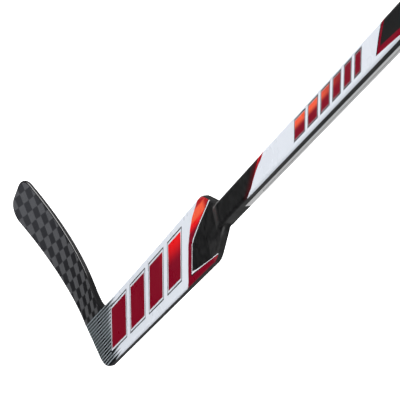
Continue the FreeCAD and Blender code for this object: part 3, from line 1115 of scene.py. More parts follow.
def arc_points(before: Point2, here: Point2, after: Point2, radius: float, count: int) -> list[Point2]:
    """Points of the arc that rounds one corner.

    Args:
        before: Corner before this one.
        here: The corner.
        after: Corner after this one.
        radius: Radius of the arc.
        count: Steps along it.

    Returns:
        The points, in order.
    """
    corner = Vector(here)
    back = (Vector(before) - corner).normalized()
    ahead = (Vector(after) - corner).normalized()
    half = back.angle(ahead) / 2
    start = corner + back * (radius / math.tan(half))
    centre = corner + (back + ahead).normalized() * (radius / math.sin(half))
    arm = start - centre
    sweep = math.pi - 2 * half
    turn = sweep if back.cross(ahead) < 0 else -sweep
    points = []
    for i in range(count + 1):
        angle = turn * i / count
        x = arm.x * math.cos(angle) - arm.y * math.sin(angle)
        y = arm.x * math.sin(angle) + arm.y * math.cos(angle)
        points.append((centre.x + x, centre.y + y))
    return points


def chain(corners: Sequence[Point3], runs: Sequence[int], arc_steps: int) -> list[Point2]:
    """Open line through corners, each rounded by its radius; the ends stay sharp.

    Args:
        corners: (x, y, radius).
        runs: Steps in each straight run.
        arc_steps: Steps in each rounded corner.

    Returns:
        As many points for every set of corners that has the same counts.
    """
    spots = [(x, y) for x, y, _ in corners]
    stops = [[spots[0]]]
    for i in range(1, len(spots) - 1):
        stops.append(arc_points(spots[i - 1], spots[i], spots[i + 1], corners[i][2], arc_steps))
    stops.append([spots[-1]])
    points: list[Point2] = list(stops[0])
    for i, steps in enumerate(runs):
        start, end = Vector(stops[i][-1]), Vector(stops[i + 1][0])
        points += [tuple(start.lerp(end, k / steps)) for k in range(1, steps)]
        points += stops[i + 1]
    return points


def strip(bench: bmesh.types.BMesh, rows: Sequence[Sequence[bmesh.types.BMVert]]) -> None:
    """Make quads between rows of as many vertices.

    Args:
        bench: Where the faces go.
        rows: The rows, in order.
    """
    for first, second in zip(rows, rows[1:]):
        for i in range(len(first) - 1):
            bench.faces.new((first[i], first[i + 1], second[i + 1], second[i]))


class GeometryTree(Bench):
    """A geometry tree with named inputs, used as a modifier and then made a plain mesh."""

    def __init__(self, name: str) -> None:
        """Start a tree that takes and gives one geometry.

        Args:
            name: The tree's name.
        """
        super().__init__(bpy.data.node_groups.new(name, "GeometryNodeTree"))
        self.keys: dict[str, str] = {}
        self.source = self.add("NodeGroupInput")
        self.sink = self.add("NodeGroupOutput")
        for way in ("INPUT", "OUTPUT"):
            self.tree.interface.new_socket("Geometry", in_out=way, socket_type="NodeSocketGeometry")

    def input(self, name: str, kind: str = "NodeSocketFloat") -> Socket:
        """Add a named input and return its socket inside the tree."""
        self.keys[name] = self.tree.interface.new_socket(name, in_out="INPUT", socket_type=kind).identifier
        return self.source.outputs[name]

    def inputs(self, *names: str) -> list[Socket]:
        """Add named numbers and return their sockets inside the tree."""
        return [self.input(name) for name in names]

    def attribute(self, name: str) -> Socket:
        """Number that a mesh holds under a name.

        Args:
            name: The attribute's name.

        Returns:
            The output socket.
        """
        node = self.add("GeometryNodeInputNamedAttribute", data_type="FLOAT")
        self.feed(node.inputs["Name"], name)
        return node.outputs["Attribute"]

    def position(self) -> tuple[Socket, Socket, Socket]:
        """Place of each point."""
        return self.split(self.add("GeometryNodeInputPosition").outputs[0])

    def close(self, geometry: Socket, coats: Sequence[tuple[Value, Socket]]) -> None:
        """End the tree: realize instances, then set each coat's material.

        Args:
            geometry: What was made.
            coats: (mask of faces, material) pairs.
        """
        last = self.step("GeometryNodeRealizeInstances", {"Geometry": geometry})
        for mask, material in coats:
            last = self.step("GeometryNodeSetMaterial", {"Geometry": last, "Selection": mask,
                                                         "Material": material})
        self.feed(self.sink.inputs[0], last)

    def apply(self, piece: bpy.types.Object, values: dict[str, object]) -> None:
        """Run the tree on an object and keep the result as its plain mesh.

        Args:
            piece: Object whose mesh goes in.
            values: Value of each named input.
        """
        modifier = piece.modifiers.new(self.tree.name, "NODES")
        modifier.node_group = self.tree
        for name, value in values.items():
            modifier[self.keys[name]] = value
        settle(piece)
        smooth(piece.data)


class BladeRule(GeometryTree):
    """Bends a flat plan of the blade into shape: swept to the front, open at the toe, thick at the root.

    The plan's x is the distance from the joint along the sole, z the height above the ice, and y runs
    from the front (negative) to the back, less by how far the rim rounds away from the face there.
    """

    def __init__(self) -> None:
        """Lay out the rule."""
        super().__init__("blade_rule")
        reach, sweep, power, opening = self.inputs("Reach", "Sweep", "Power", "Opening")
        face, middle, toe, root = self.inputs("Face", "Middle", "Toe", "Root")
        flare, slope, seam, plan = self.inputs("Flare", "Joint Slope", "Seam", "Plan Depth")
        material = self.input("Material", "NodeSocketMaterial")
        run, depth, height = self.position()
        share = self.most(self.divide(run, reach), 0.0)
        bend = self.times(sweep, self.math("POWER", share, power))
        lean = self.times(height, self.math("TANGENT", self.times(opening, share)))
        front = self.minus(self.minus(lean, face), bend)
        plain = self.total(middle, self.times(self.minus(toe, middle), share))
        from_joint = self.total(run, self.times(height, slope))
        near = self.least(self.most(self.minus(1.0, self.divide(from_joint, flare)), 0.0), 1.0)
        thick = self.total(plain, self.times(near, near, self.minus(root, plain)))
        is_back = self.above(depth, 0.0)
        drop = self.minus(plan, self.math("ABSOLUTE", depth))
        inwards = self.minus(1.0, self.times(is_back, 2.0))
        place = self.total(front, self.times(is_back, thick), self.times(inwards, drop))
        bent = self.step("GeometryNodeSetPosition", {
            "Geometry": self.source.outputs["Geometry"],
            "Position": self.join(self.minus(seam, run), place, height)})
        self.close(bent, [(True, material)])


@dataclass
class Blade:
    """Carbon blade: a woven sheet on each face and a solid rounded rim."""

    reach: float = 284.5
    toe_height: float = 88.5
    sweep: float = 68.0
    power: float = 1.65
    opening_degrees: float = 10.5
    toe_lift: float = 3.2
    sole_flat: float = 100.0
    rocker: float = 4000.0
    foot_radius: float = 32.0
    top_radius: float = 24.0
    web_radius: float = 30.0
    middle_thick: float = 8.5
    toe_thick: float = 6.0
    flare: float = 75.0
    rim_radius: float = 2.6
    rim_width: float = 3.2
    sheet: float = 1.0
    overrun: float = 12.0       # how far the plan runs past the joint before it is cut there
    web_overruns: float = 2.5   # the same for the web, which climbs, in overruns
    plan_depth: float = 6.0     # half the depth of the flat plan
    grid: float = 6.0           # spacing of points inside the sheets
    grid_gap: float = 0.0001    # points of the sheets closer than this are the same
    cut_gap: float = 0.0001     # points this near the joint lie on it
    runs: Sequence[int] = (40, 40, 14, 60, 12)
    arc_steps: int = 14
    round_steps: int = 7
    map_overrun: float = 1.05   # how far the map runs, in reaches
    map_steps: int = 2000

    def corners(self, inset: float) -> list[Point3]:
        """Corners of the outline from the sole round the toe to the web.

        Args:
            inset: How far the outline is moved in.

        Returns:
            (distance from the joint, height, radius).
        """
        top = STICK.blade_heel_height - inset
        web_start = STICK.web - top / math.tan(STICK.lie)
        climb = math.radians(STICK.web_degrees)
        run = STICK.web + self.web_overruns * self.overrun
        return [(-self.overrun, inset, 0.0), (self.sole_flat, inset, self.rocker),
                (self.reach - inset, self.toe_lift + inset, self.foot_radius - inset),
                (self.reach - inset, self.toe_height - inset, self.top_radius - inset),
                (web_start, top, self.web_radius + inset),
                (web_start - run * math.cos(climb), top + run * math.sin(climb), 0.0)]

    def line(self, inset: float) -> list[Point2]:
        """Points of the outline, moved in by inset."""
        return chain(self.corners(inset), self.runs, self.arc_steps)

    def rim_profile(self) -> list[Point2]:
        """Front half of the rim's section, from the sheet to the side.

        Returns:
            (inset, drop from the face) pairs.
        """
        points = [(self.rim_width, 0.0)]
        for i in range(self.round_steps + 1):
            angle = math.pi / 2 * i / self.round_steps
            points.append((self.rim_radius * (1 - math.sin(angle)), self.rim_radius * (1 - math.cos(angle))))
        return points

    def cut_at_joint(self, bench: bmesh.types.BMesh) -> None:
        """Cut the flat plan off at the joint with the paddle and close the cut.

        Args:
            bench: The plan.
        """
        normal = Vector((math.sin(STICK.lie), 0.0, math.cos(STICK.lie)))
        everything = list(bench.verts) + list(bench.edges) + list(bench.faces)
        bmesh.ops.bisect_plane(bench, geom=everything, dist=self.cut_gap * MM, plane_co=(0, 0, 0),
                               plane_no=normal, clear_inner=True)
        bmesh.ops.holes_fill(bench, edges=[e for e in bench.edges if e.is_boundary], sides=0)

    def rim_plan(self) -> bmesh.types.BMesh:
        """Flat plan of the rim: a closed section swept along the outline.

        Returns:
            The plan.
        """
        bench = bmesh.new()
        half = self.rim_profile()
        section = [(inset, drop - self.plan_depth) for inset, drop in half]
        section += [(inset, self.plan_depth - drop) for inset, drop in reversed(half)]
        rows = [[bench.verts.new((d * MM, depth * MM, z * MM)) for d, z in self.line(inset)]
                for inset, depth in section]
        strip(bench, rows + rows[:1])
        self.cut_at_joint(bench)
        return bench

    def sheet_plan(self, side: Side) -> bmesh.types.BMesh:
        """Flat plan of the woven sheet on one face, inside the rim.

        Args:
            side: Face of the stick.

        Returns:
            The plan, as a closed thin plate.
        """
        edge = self.line(self.rim_width)
        count = len(edge)
        spots = [Vector(p) for p in edge]
        low, high = min(x for x, _ in edge), max(x for x, _ in edge)
        top = max(z for _, z in edge)
        for i in range(int((high - low) / self.grid)):
            for j in range(int(top / self.grid)):
                spots.append(Vector((low + (i + 0.5) * self.grid, (j + 0.5 + 0.5 * (i % 2)) * self.grid)))
        ring = [(i, (i + 1) % count) for i in range(count)]
        coords, _, faces, _, _, _ = delaunay_2d_cdt(spots, ring, [list(range(count))], 1, self.grid_gap)
        bench = bmesh.new()
        layers = []
        for drop in (0.0, self.sheet):
            depth = -side.value * (self.plan_depth - drop)
            verts = [bench.verts.new((c.x * MM, depth * MM, c.y * MM)) for c in coords]
            for face in faces:
                bench.faces.new([verts[i] for i in face])
            layers.append(verts)
        outer, inner = layers
        index = {v: i for i, v in enumerate(outer)}
        for e in [e for e in bench.edges if e.is_boundary and e.verts[0] in index]:
            a, b = (index[v] for v in e.verts)
            bench.faces.new((outer[a], outer[b], inner[b], inner[a]))
        bmesh.ops.delete(bench, geom=[v for v in bench.verts if not v.link_faces], context="VERTS")
        self.cut_at_joint(bench)
        return bench

    def lay_map(self, mesh: bpy.types.Mesh, name: str) -> None:
        """Map the bent face flat, in millimetres along and across the paddle, for the weave.

        Args:
            mesh: The bent piece.
            name: The map's name.
        """
        grid = np.linspace(0.0, self.reach * self.map_overrun, self.map_steps)
        slope = self.sweep * self.power / self.reach * (grid / self.reach) ** (self.power - 1)
        length = np.concatenate([[0.0], np.cumsum(np.sqrt(1 + slope[1:] ** 2) * np.diff(grid))])
        layer = mesh.uv_layers.new(name=name)
        turn = math.pi / 2 - STICK.lie
        for loop in mesh.loops:
            place = mesh.vertices[loop.vertex_index].co
            run = STICK.seam_x - place.x / MM
            along = float(np.interp(run, grid, length)) if run > 0 else run
            height = place.z / MM
            layer.data[loop.index].uv = (along * math.cos(turn) + height * math.sin(turn),
                                         height * math.cos(turn) - along * math.sin(turn))

    def build(self, finishes: Finishes) -> None:
        """Make the rim and the two sheets.

        Args:
            finishes: The stick's materials.
        """
        rule = BladeRule()
        lengths = {"Reach": self.reach, "Sweep": self.sweep, "Face": STICK.half_thick,
                   "Middle": self.middle_thick, "Toe": self.toe_thick, "Root": STICK.paddle_thickness,
                   "Flare": self.flare, "Seam": STICK.seam_x, "Plan Depth": self.plan_depth}
        values = {name: length * MM for name, length in lengths.items()}
        values |= {"Power": self.power, "Opening": math.radians(self.opening_degrees),
                   "Joint Slope": 1 / math.tan(STICK.lie)}
        plans = [(f"blade_{side.label}_sheet", self.sheet_plan(side), finishes.weave, "carbon_weave",
                  [f"blade_{side.label}_skin"]) for side in Side]
        plans.append(("blade_rim", self.rim_plan(), finishes.rim, "carbon_edge",
                      ["blade_top_edge", "blade_sole_edge", "blade_toe_edge"]))
        for name, bench, material, slot, replaced in plans:
            piece = new_object(name, plain_mesh(bench, name))
            rule.apply(piece, values | {"Material": material})
            self.lay_map(piece.data, SpreadTow.map_name)
            deliver(piece, replaced)


class BarRule(GeometryTree):
    """Row of slanted printed bars, each narrower than the one before, from one template bar.

    The template's corners are at 0 and 1 across and along; its attribute "inset" tells which of the bar's
    three nested outlines a corner belongs to, and the face attribute "zone" what is printed there.
    """

    def __init__(self) -> None:
        """Lay out the rule."""
        super().__init__("bar_rule")
        count = self.input("Count", "NodeSocketInt")
        first, ratio, gap, foot = self.inputs("First Width", "Ratio", "Gap", "Foot")
        height, middle, slant = self.inputs("Height", "Middle", "Slant")
        outline, keyline, base, thick, side = self.inputs("Outline", "Keyline", "Base", "Thickness", "Side")
        turn, start = (self.input(name, "NodeSocketVector") for name in ("Turn", "Start"))
        inks = [self.input(zone.name.title() + " Ink", "NodeSocketMaterial") for zone in Zone]
        bars = self.row(count, self.times(first, self.math("POWER", ratio, self.index())), gap)
        u, level, v = self.position()
        ring = self.attribute("inset")
        inset = self.total(self.times(outline, self.least(ring, 1.0)),
                           self.times(keyline, self.most(self.minus(ring, 1.0), 0.0)))
        up = self.total(self.times(self.minus(v, 0.5), height),
                        self.times(self.minus(1.0, self.times(v, 2.0)), inset))
        lean = self.math("SQRT", self.total(1.0, self.times(slant, slant)))
        inwards = self.times(self.minus(1.0, self.times(u, 2.0)), self.times(inset, lean))
        along = self.total(foot, self.attribute("bar_start"), self.times(u, self.attribute("bar_width")),
                           inwards, self.times(up, slant))
        depth = self.times(self.total(base, self.times(level, thick)), side)
        placed = self.step("GeometryNodeSetPosition", {
            "Geometry": bars,
            "Position": self.join(along, self.times(depth, -1.0), self.total(up, middle))})
        turned = self.step("GeometryNodeTransform", {"Geometry": placed, "Rotation": turn,
                                                     "Translation": start})
        zone = self.attribute("zone")
        self.close(turned, [(self.below(self.distance(zone, float(kind.value)), 0.5), ink)
                            for kind, ink in zip(Zone, inks)])

    def index(self) -> Socket:
        """Number of each point in the row."""
        return self.add("GeometryNodeInputIndex").outputs[0]

    def row(self, count: Socket, width: Socket, gap: Socket) -> Socket:
        """One template bar per place in the row, each with its own width and start.

        Args:
            count: How many bars there are.
            width: Width of each bar.
            gap: Gap between two bars.

        Returns:
            The bars' geometry, with "bar_width" and "bar_start" on its points.
        """
        points = self.step("GeometryNodePoints", {"Count": count})
        pile = self.add("GeometryNodeAccumulateField", data_type="FLOAT", domain="POINT")
        self.feed(pile.inputs[0], self.total(width, gap))
        for name, value in (("bar_width", width), ("bar_start", pile.outputs["Trailing"])):
            points = self.step("GeometryNodeStoreNamedAttribute",
                               {"Geometry": points, "Name": name, "Value": value},
                               data_type="FLOAT", domain="POINT")
        copies = self.step("GeometryNodeInstanceOnPoints", {
            "Points": points, "Instance": self.source.outputs["Geometry"]})
        return self.step("GeometryNodeRealizeInstances", {"Geometry": copies})


@dataclass
class BarRow:
    """Printed row of slanted bars on one stretch of the stick."""

    name: str
    count: int
    first_width: float
    ratio: float
    gap: float
    foot: float
    height: float
    middle: float
    face: float                 # height of the film under the bars, from the stick's middle plane
    slant: float = 0.68
    outline: float = 1.9
    keyline: float = 2.8
    thickness: float = 0.06

    def template(self) -> bpy.types.Mesh:
        """One bar as a closed thin plate: nested outlines on top, plain below.

        Returns:
            The mesh, with its "inset" and "zone" attributes.
        """
        bench = bmesh.new()
        ring_layer = bench.verts.layers.float.new("inset")
        zone_layer = bench.faces.layers.float.new("zone")
        square = ((0, 0), (1, 0), (1, 1), (0, 1))
        loops = []
        for ring, level in ((0, 0), (0, 1), (1, 1), (2, 1)):
            loop = [bench.verts.new((u, level, v)) for u, v in square]
            for vert in loop:
                vert[ring_layer] = ring
            loops.append(loop)
        kinds = (Zone.OUTLINE, Zone.OUTLINE, Zone.KEYLINE)
        for outer, inner, kind in zip(loops, loops[1:], kinds):
            for i in range(len(square)):
                j = (i + 1) % len(square)
                bench.faces.new((outer[i], outer[j], inner[j], inner[i]))[zone_layer] = kind.value
        bench.faces.new(loops[-1])[zone_layer] = Zone.BODY.value
        bench.faces.new(loops[0][::-1])[zone_layer] = Zone.OUTLINE.value
        return plain_mesh(bench, self.name)

    def build(self, rule: BarRule, side: Side, ink: Material, finishes: Finishes) -> None:
        """Make the row on one face.

        Args:
            rule: Tree that lays the bars out.
            side: Face of the stick.
            ink: Ink of the bars' bodies.
            finishes: The stick's materials.
        """
        lengths = {"First Width": self.first_width, "Gap": self.gap, "Foot": self.foot,
                   "Height": self.height, "Middle": self.middle, "Outline": self.outline,
                   "Keyline": self.keyline, "Base": self.face, "Thickness": self.thickness}
        values = {name: length * MM for name, length in lengths.items()}
        values |= {"Count": self.count, "Ratio": self.ratio, "Slant": self.slant, "Side": side.value,
                   "Turn": (0.0, -STICK.lie, 0.0), "Start": (STICK.axis_x * MM, 0.0, 0.0),
                   "Outline Ink": finishes.outline, "Keyline Ink": finishes.keyline, "Body Ink": ink}
        piece = new_object(f"{self.name}_{side.label}_bars", self.template())
        rule.apply(piece, values)
        deliver(piece, [])


@dataclass
class Paddle:
    """Paddle: printed films that turn round its edges, over black rails."""

    heel_radius: float = 60.0
    bow: float = 1.2            # how far the upper edge draws in
    wrap_degrees: float = 70.0
    wrap_steps: int = 8
    sole_runs: Sequence[int] = (10, 48)
    arc_steps: int = 16
    upper_steps: int = 48
    rails: Sequence[str] = ("paddle_upper_rail", "paddle_under_rail", "heel_edge")
    bars: BarRow = field(default_factory=lambda: BarRow(
        "paddle", count=4, first_width=104.0, ratio=0.9, gap=20.0, foot=129.0, height=66.0, middle=1.0,
        face=STICK.half_thick + STICK.film))

    def sole_s(self, y: float, inset: float) -> float:
        """Place along the bar where the sole, moved in by inset, crosses a height y."""
        turn = math.radians(STICK.lie_degrees - STICK.heel_rise_degrees)
        return STICK.seam_s + (STICK.half_width - y) / math.tan(turn) + inset / math.sin(turn)

    def under_line(self, inset: float) -> list[Point2]:
        """Sole, heel and lower edge from the joint to the shoulder.

        Args:
            inset: How far the line is moved in.

        Returns:
            (s, y) points.
        """
        high = STICK.half_width
        low = inset - STICK.half_width
        return chain([(self.sole_s(high, inset), high, 0.0),
                      (self.sole_s(low, inset), low, self.heel_radius - inset),
                      (STICK.shoulder_s, low, 0.0)], self.sole_runs, self.arc_steps)

    def upper_line(self, inset: float) -> list[Point2]:
        """Slightly hollow upper edge from the shoulder down to the web.

        Args:
            inset: How far the line is moved in.

        Returns:
            (s, y) points.
        """
        points = []
        for i in range(self.upper_steps + 1):
            share = i / self.upper_steps
            s = STICK.shoulder_s + (STICK.crotch_s - STICK.shoulder_s) * share
            points.append((s, STICK.half_width - inset - 4 * self.bow * share * (1 - share)))
        return points

    def film(self, side: Side) -> bpy.types.Mesh:
        """Printed film of one face, turned round the paddle's long edges, sole and heel.

        Args:
            side: Face of the stick.

        Returns:
            The film's outer face.
        """
        bench = bmesh.new()
        outer = STICK.edge_radius + STICK.film
        rim_under, rim_upper = [], []
        for i in range(self.wrap_steps + 1):
            angle = math.radians(self.wrap_degrees) * (1 - i / self.wrap_steps)
            inset = STICK.edge_radius - outer * math.sin(angle)
            n = side.value * (STICK.half_thick - STICK.edge_radius + outer * math.cos(angle))
            for rim, line in ((rim_under, self.under_line(inset)), (rim_upper, self.upper_line(inset))):
                rim.append([bench.verts.new(STICK.place(s, y, n)) for s, y in line])
        strip(bench, rim_under)
        strip(bench, rim_upper)
        level = side.value * (STICK.half_thick + STICK.film)
        step = bench.verts.new(STICK.place(STICK.crotch_s, STICK.half_width, level))
        field_face = bench.faces.new(rim_under[-1] + rim_upper[-1] + [step])
        bmesh.ops.recalc_face_normals(bench, faces=bench.faces)
        face_outwards(bench, field_face.normal, side)
        bmesh.ops.triangulate(bench, faces=[field_face])
        return plain_mesh(bench, f"paddle_{side.label}_print")

    def build(self, finishes: Finishes, rule: BarRule) -> None:
        """Make the films and their bars, and finish the rails.

        Args:
            finishes: The stick's materials.
            rule: Tree that lays printed bars out.
        """
        for side in Side:
            piece = new_shell(self.film(side), finishes.paddle, STICK.film)
            deliver(piece, [f"paddle_{side.label}_film"])
            self.bars.build(rule, side, finishes.paddle_bar, finishes)
        for node in self.rails:
            dress(node, finishes.black)


@dataclass
class Shoulder:
    """Moulded shoulder: the paddle's plate draws in while the shaft's section rises out of it."""

    under_length: float = 82.0  # of the lower side's taper, which would run out on the shaft
    ramp: float = 42.0          # length over which the ridge gains the shaft's thickness
    sleeve: float = 3.0         # reach of the shaft's tube into the shoulder
    lip: float = 0.48           # wall over the shaft
    end_lip: float = 0.22       # the same at the shoulder's end
    lip_from: float = 0.6       # share of the length from which the wall thins
    ridge_dip: float = 1.5      # how far the ridge starts below the plate's face
    shaft_corner: float = 4.5
    round_share: float = 0.25   # of the taper that each of its rounded ends takes
    upper_flank: float = 17.0   # width of the soft flank between the ridge's flat and the plate
    lower_flank: float = 7.0
    least_flank: float = 0.01
    corner_limit: float = 0.4   # largest rounding, as a share of the ridge's thickness
    wall: float = 0.2
    stations: int = 64
    spokes: int = 88
    search_reach: float = 2.5   # rays from the section's middle are searched this far, in half sizes
    search_steps: int = 44

    def taper(self, share: float) -> float:
        """Straight run from 0 to 1 with a rounded start and end.

        Args:
            share: Share of the way, clamped.

        Returns:
            The run's height there.
        """
        share = min(max(share, 0.0), 1.0)
        if share > 0.5:
            return 1 - self.taper(1 - share)
        slope = 1 / (1 - self.round_share)
        if share < self.round_share:
            return slope * share * share / (2 * self.round_share)
        return slope * (share - self.round_share / 2)

    @staticmethod
    def distance(y: np.ndarray, n: np.ndarray, edges: Point2, half: float, radius: float) -> np.ndarray:
        """Distance of points from a rounded rectangle.

        Args:
            y: Places towards the upper edge.
            n: Places out of the front.
            edges: The rectangle's lower and upper edge.
            half: Half its thickness.
            radius: Radius of its corners.

        Returns:
            The distances, negative inside.
        """
        low, high = edges
        away = np.abs(y - (low + high) / 2) - ((high - low) / 2 - radius)
        rise = np.abs(n) - (half - radius)
        outside = np.hypot(np.maximum(away, 0.0), np.maximum(rise, 0.0))
        return outside + np.minimum(np.maximum(away, rise), 0.0) - radius

    def section(self, run: float) -> list[Point2]:
        """Front half of the section, from upper to lower edge.

        Args:
            run: Distance along the shoulder.

        Returns:
            (y, n) points.
        """
        share = run / STICK.shoulder_length
        centre = -STICK.shaft_drop
        step = STICK.half_width - STICK.shaft_width / 2 + self.lip
        high = STICK.half_width - (step + STICK.shaft_drop) * self.taper(share)
        low = (step - STICK.shaft_drop) * self.taper(run / self.under_length) - STICK.half_width
        thinning = max(0.0, (share - self.lip_from) / (1 - self.lip_from))
        lip = self.lip + (self.end_lip - self.lip) * thinning
        ridge_side = STICK.shaft_width / 2 + lip
        start = STICK.half_thick - self.ridge_dip
        climb = run - STICK.shoulder_length + self.sleeve + self.ramp
        ridge_half = start + (STICK.shaft_thickness / 2 + lip - start) * self.taper(climb / self.ramp)
        corner = min(self.shaft_corner, 2 * self.corner_limit * ridge_half)
        flat = ridge_side - corner
        rise = max(ridge_half - STICK.half_thick, 0.0)
        upper_room = high - STICK.edge_radius - centre - flat
        lower_room = centre - flat - low - STICK.edge_radius
        upper_flank = np.clip(upper_room, self.least_flank, self.upper_flank)
        lower_flank = np.clip(lower_room, self.least_flank, self.lower_flank)
        angles = np.pi * np.arange(self.spokes + 1) / self.spokes
        wide = np.maximum(np.where(np.cos(angles) > 0, high - centre, centre - low), ridge_side)
        ray_y, ray_n = wide * np.cos(angles), max(STICK.half_thick, ridge_half) * np.sin(angles)
        near, far = np.zeros_like(angles), np.full_like(angles, self.search_reach)
        for _ in range(self.search_steps):
            middle = (near + far) / 2
            y, n = centre + ray_y * middle, ray_n * middle
            plate = self.distance(y, n, (low, high), STICK.half_thick, STICK.edge_radius)
            ridge = self.distance(y, n, (centre - ridge_side, centre + ridge_side), ridge_half, corner)
            fall = (np.abs(y - centre) - flat) / np.where(y > centre, upper_flank, lower_flank)
            ease = np.clip(fall, 0.0, 1.0)
            level = STICK.half_thick + rise * (1 - ease * ease * (3 - 2 * ease))
            inside = (plate < 0) | (ridge < 0) | ((fall < 1) & (n < level))
            near, far = np.where(inside, middle, near), np.where(inside, far, middle)
        return list(zip(centre + ray_y * near, ray_n * near))

    def half(self, side: Side) -> bpy.types.Mesh:
        """Outer face of one half.

        Args:
            side: Face of the stick.

        Returns:
            The face.
        """
        bench = bmesh.new()
        rows = []
        for i in range(self.stations + 1):
            run = STICK.shoulder_length * i / self.stations
            rows.append([bench.verts.new(STICK.place(STICK.shoulder_s + run, y, side.value * n))
                         for y, n in self.section(run)])
        strip(bench, rows)
        bench.normal_update()
        face_outwards(bench, rows[self.stations // 2][self.spokes // 2].normal, side)
        return plain_mesh(bench, f"shoulder_{side.label}_shell")

    def build(self, finishes: Finishes) -> None:
        """Make the two halves.

        Args:
            finishes: The stick's materials.
        """
        for side in Side:
            piece = new_shell(self.half(side), finishes.paddle, self.wall)
            deliver(piece, [f"shoulder_{side.label}"])


@dataclass
class Shaft:
    """Shaft: black tube with printed face films, a silver strip below and a rubber plug."""

    bars: BarRow = field(default_factory=lambda: BarRow(
        "shaft", count=6, first_width=37.0, ratio=0.88, gap=8.0, foot=1024.0, height=22.0,
        middle=-STICK.shaft_drop, face=STICK.shaft_thickness / 2 + STICK.film, outline=1.5, keyline=0.35))

    def build(self, finishes: Finishes, rule: BarRule) -> None:
        """Finish the tube and its films, and print the bars.

        Args:
            finishes: The stick's materials.
            rule: Tree that lays printed bars out.
        """
        dress("shaft_tube", finishes.tube)
        dress("butt_plug", finishes.rubber)
        dress("shaft_under_strip", finishes.silver)
        for side in Side:
            dress(f"shaft_{side.label}_film", finishes.shaft)
            dress(f"shaft_top_{side.label}_film", finishes.shaft)
            self.bars.build(rule, side, finishes.shaft_bar, finishes)


@dataclass
class Core:
    """What the stick holds inside: foam, ribs, skins under the films and the tenon of the shaft."""

    foam: Sequence[str] = ("paddle_foam_upper", "paddle_foam_lower", "blade_foam_upper", "blade_foam_lower")
    laminate: Sequence[str] = ("paddle_front_skin", "paddle_back_skin")
    core: Sequence[str] = ("heel_block", "paddle_spine", "shaft_tenon", "blade_rib")

    def build(self, finishes: Finishes) -> None:
        """Finish the inner nodes.

        Args:
            finishes: The stick's materials.
        """
        for names, material in ((self.foam, finishes.foam), (self.laminate, finishes.laminate),
                                (self.core, finishes.core)):
            for node in names:
                dress(node, material)


@dataclass
class Softbox:
    """Rectangular studio lamp, in metres and watts."""

    name: str
    place: Point3
    target: Point3
    width: float
    height: float
    power: float

    def build(self) -> None:
        """Put the lamp up."""
        lamp = bpy.data.lights.new(self.name, "AREA")
        lamp.shape = "RECTANGLE"
        lamp.size = self.width
        lamp.size_y = self.height
        lamp.energy = self.power
        stand = bpy.data.objects.new(self.name, lamp)
        bpy.context.scene.collection.objects.link(stand)
        stand.location = self.place
        aim = Vector(self.target) - Vector(self.place)
        stand.rotation_euler = aim.to_track_quat("-Z", "Y").to_euler()


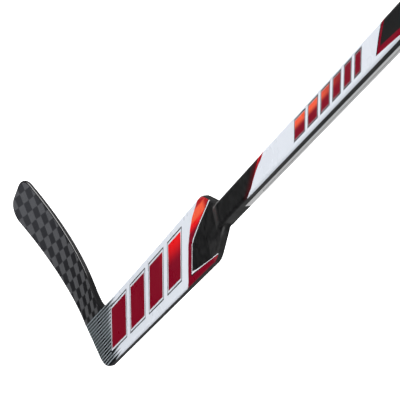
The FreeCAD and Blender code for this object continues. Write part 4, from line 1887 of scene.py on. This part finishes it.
@dataclass
class Studio:
    """Pale floor, soft light and the camera, in metres."""

    floor_size: float = 40.0
    floor_drop: float = 0.0004
    floor_glow: float = 1.0
    floor_rough: float = 0.9
    floor_tints: tuple[Colour, Colour] = ((0.86, 0.86, 0.86), (0.90, 0.90, 0.90))
    floor_scale: float = 4.0
    camera_place: Point3 = (1.7615, -0.7339, 2.1458)
    camera_right: Point3 = (0.2996, 0.9399, 0.1638)
    camera_up: Point3 = (-0.7008, 0.1003, 0.7063)
    lens: float = 152.02
    sensor: float = 36.0
    above_reach: Point2 = (-0.35, 0.9)  # heights in the sky where the light from above starts and is full
    above_light: Point2 = (0.004, 0.45)
    behind_reach: Point2 = (-0.1, 0.5)  # the same towards the back
    behind_light: float = 0.25
    behind_rise: Point2 = (-0.5, 0.0)   # heights between which the light from behind comes in
    below_heading: Point3 = (-0.14, 0.25, -0.96)
    below_light: float = 0.22
    card_heading: Point3 = (-0.83, 0.05, -0.55)
    card_light: float = 1.1
    lobe_edge: Point2 = (0.94, 0.99)    # cosines from a lobe's middle where its light begins and is full
    lamps: Sequence[Softbox] = (
        Softbox("key", (-1.6, -3.6, 2.0), (0.2, 0.0, 0.5), 2.4, 2.6, 168.0),
        Softbox("side", (2.9, -1.1, -0.9), (0.3, 0.0, 0.6), 3.2, 3.2, 93.0),
        Softbox("back", (1.0, 3.8, 2.2), (0.2, 0.0, 0.5), 2.4, 2.4, 140.0),
    )

    def lobe(self, bench: Bench, heading: Socket, middle: Point3, light: float) -> Socket:
        """Soft round patch of light in the sky.

        Args:
            bench: The world's bench.
            heading: Direction looked up.
            middle: Direction of the patch's middle.
            light: Strength at its middle.

        Returns:
            The patch's strength.
        """
        facing = bench.add("ShaderNodeVectorMath", operation="DOT_PRODUCT")
        bench.feed(facing.inputs[0], heading)
        bench.feed(facing.inputs[1], middle)
        return bench.spread(facing.outputs["Value"], *self.lobe_edge, 0.0, light, smooth=True)

    def sky(self) -> None:
        """Soft light: bright above, behind and straight below, with a pale card low on the left.

        The camera itself sees a plain white backdrop.
        """
        world = bpy.data.worlds.new("studio")
        bpy.context.scene.world = world
        world.use_nodes = True
        bench = Bench(world.node_tree)
        bench.tree.nodes.clear()
        heading = bench.add("ShaderNodeTexCoord").outputs["Generated"]
        _, back, height = bench.split(heading)
        above = bench.spread(height, *self.above_reach, *self.above_light, smooth=True)
        behind = bench.times(bench.spread(back, *self.behind_reach, 0.0, self.behind_light, smooth=True),
                             bench.spread(height, *self.behind_rise))
        below = self.lobe(bench, heading, self.below_heading, self.below_light)
        card = self.lobe(bench, heading, self.card_heading, self.card_light)
        seen = bench.add("ShaderNodeLightPath").outputs["Is Camera Ray"]
        strength = bench.most(bench.total(above, behind, below, card), seen)
        light = bench.step("ShaderNodeBackground", {"Color": rgba((1.0, 1.0, 1.0)), "Strength": strength})
        bench.feed(bench.add("ShaderNodeOutputWorld").inputs["Surface"], light)

    def floor(self) -> None:
        """Plain pale floor that doesn't tint the stick."""
        half = self.floor_size / 2
        mesh = bpy.data.meshes.new("floor")
        corners = [(-half, -half), (half, -half), (half, half), (-half, half)]
        mesh.from_pydata([(x, y, -self.floor_drop) for x, y in corners], [], [(0, 1, 2, 3)])
        piece = new_object("floor", mesh)
        shader = Shader("floor_paper")
        grain = shader.noise(shader.object_place(), self.floor_scale)
        shader.set(Base_Color=shader.mix(grain, *self.floor_tints), Roughness=self.floor_rough,
                   Emission_Color=rgba((1.0, 1.0, 1.0)), Emission_Strength=self.floor_glow)
        mesh.materials.append(shader.material)
        piece.visible_diffuse = False
        piece.visible_glossy = False
        piece.visible_shadow = False

    def camera(self) -> None:
        """Camera at the picture's viewing angle."""
        data = bpy.data.cameras.new("camera")
        data.lens = self.lens
        data.sensor_width = self.sensor
        stand = bpy.data.objects.new("camera", data)
        bpy.context.scene.collection.objects.link(stand)
        right = Vector(self.camera_right).normalized()
        up = Vector(self.camera_up)
        up = (up - right * up.dot(right)).normalized()
        turn = Matrix((right, up, right.cross(up))).transposed()
        stand.matrix_world = Matrix.Translation(self.camera_place) @ turn.to_4x4()
        bpy.context.scene.camera = stand

    def build(self) -> None:
        """Set the studio up."""
        bpy.context.scene.view_settings.view_transform = "Standard"
        self.sky()
        self.floor()
        self.camera()
        for lamp in self.lamps:
            lamp.build()


def main() -> None:
    """Build the stick and its studio."""
    logging.basicConfig(level=logging.INFO, format="%(name)s %(message)s")
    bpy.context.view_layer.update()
    finishes = Finishes()
    Studio().build()
    rule = BarRule()
    Blade().build(finishes)
    Paddle().build(finishes, rule)
    Shoulder().build(finishes)
    Shaft().build(finishes, rule)
    Core().build(finishes)


if __name__ == "__main__":
    main()
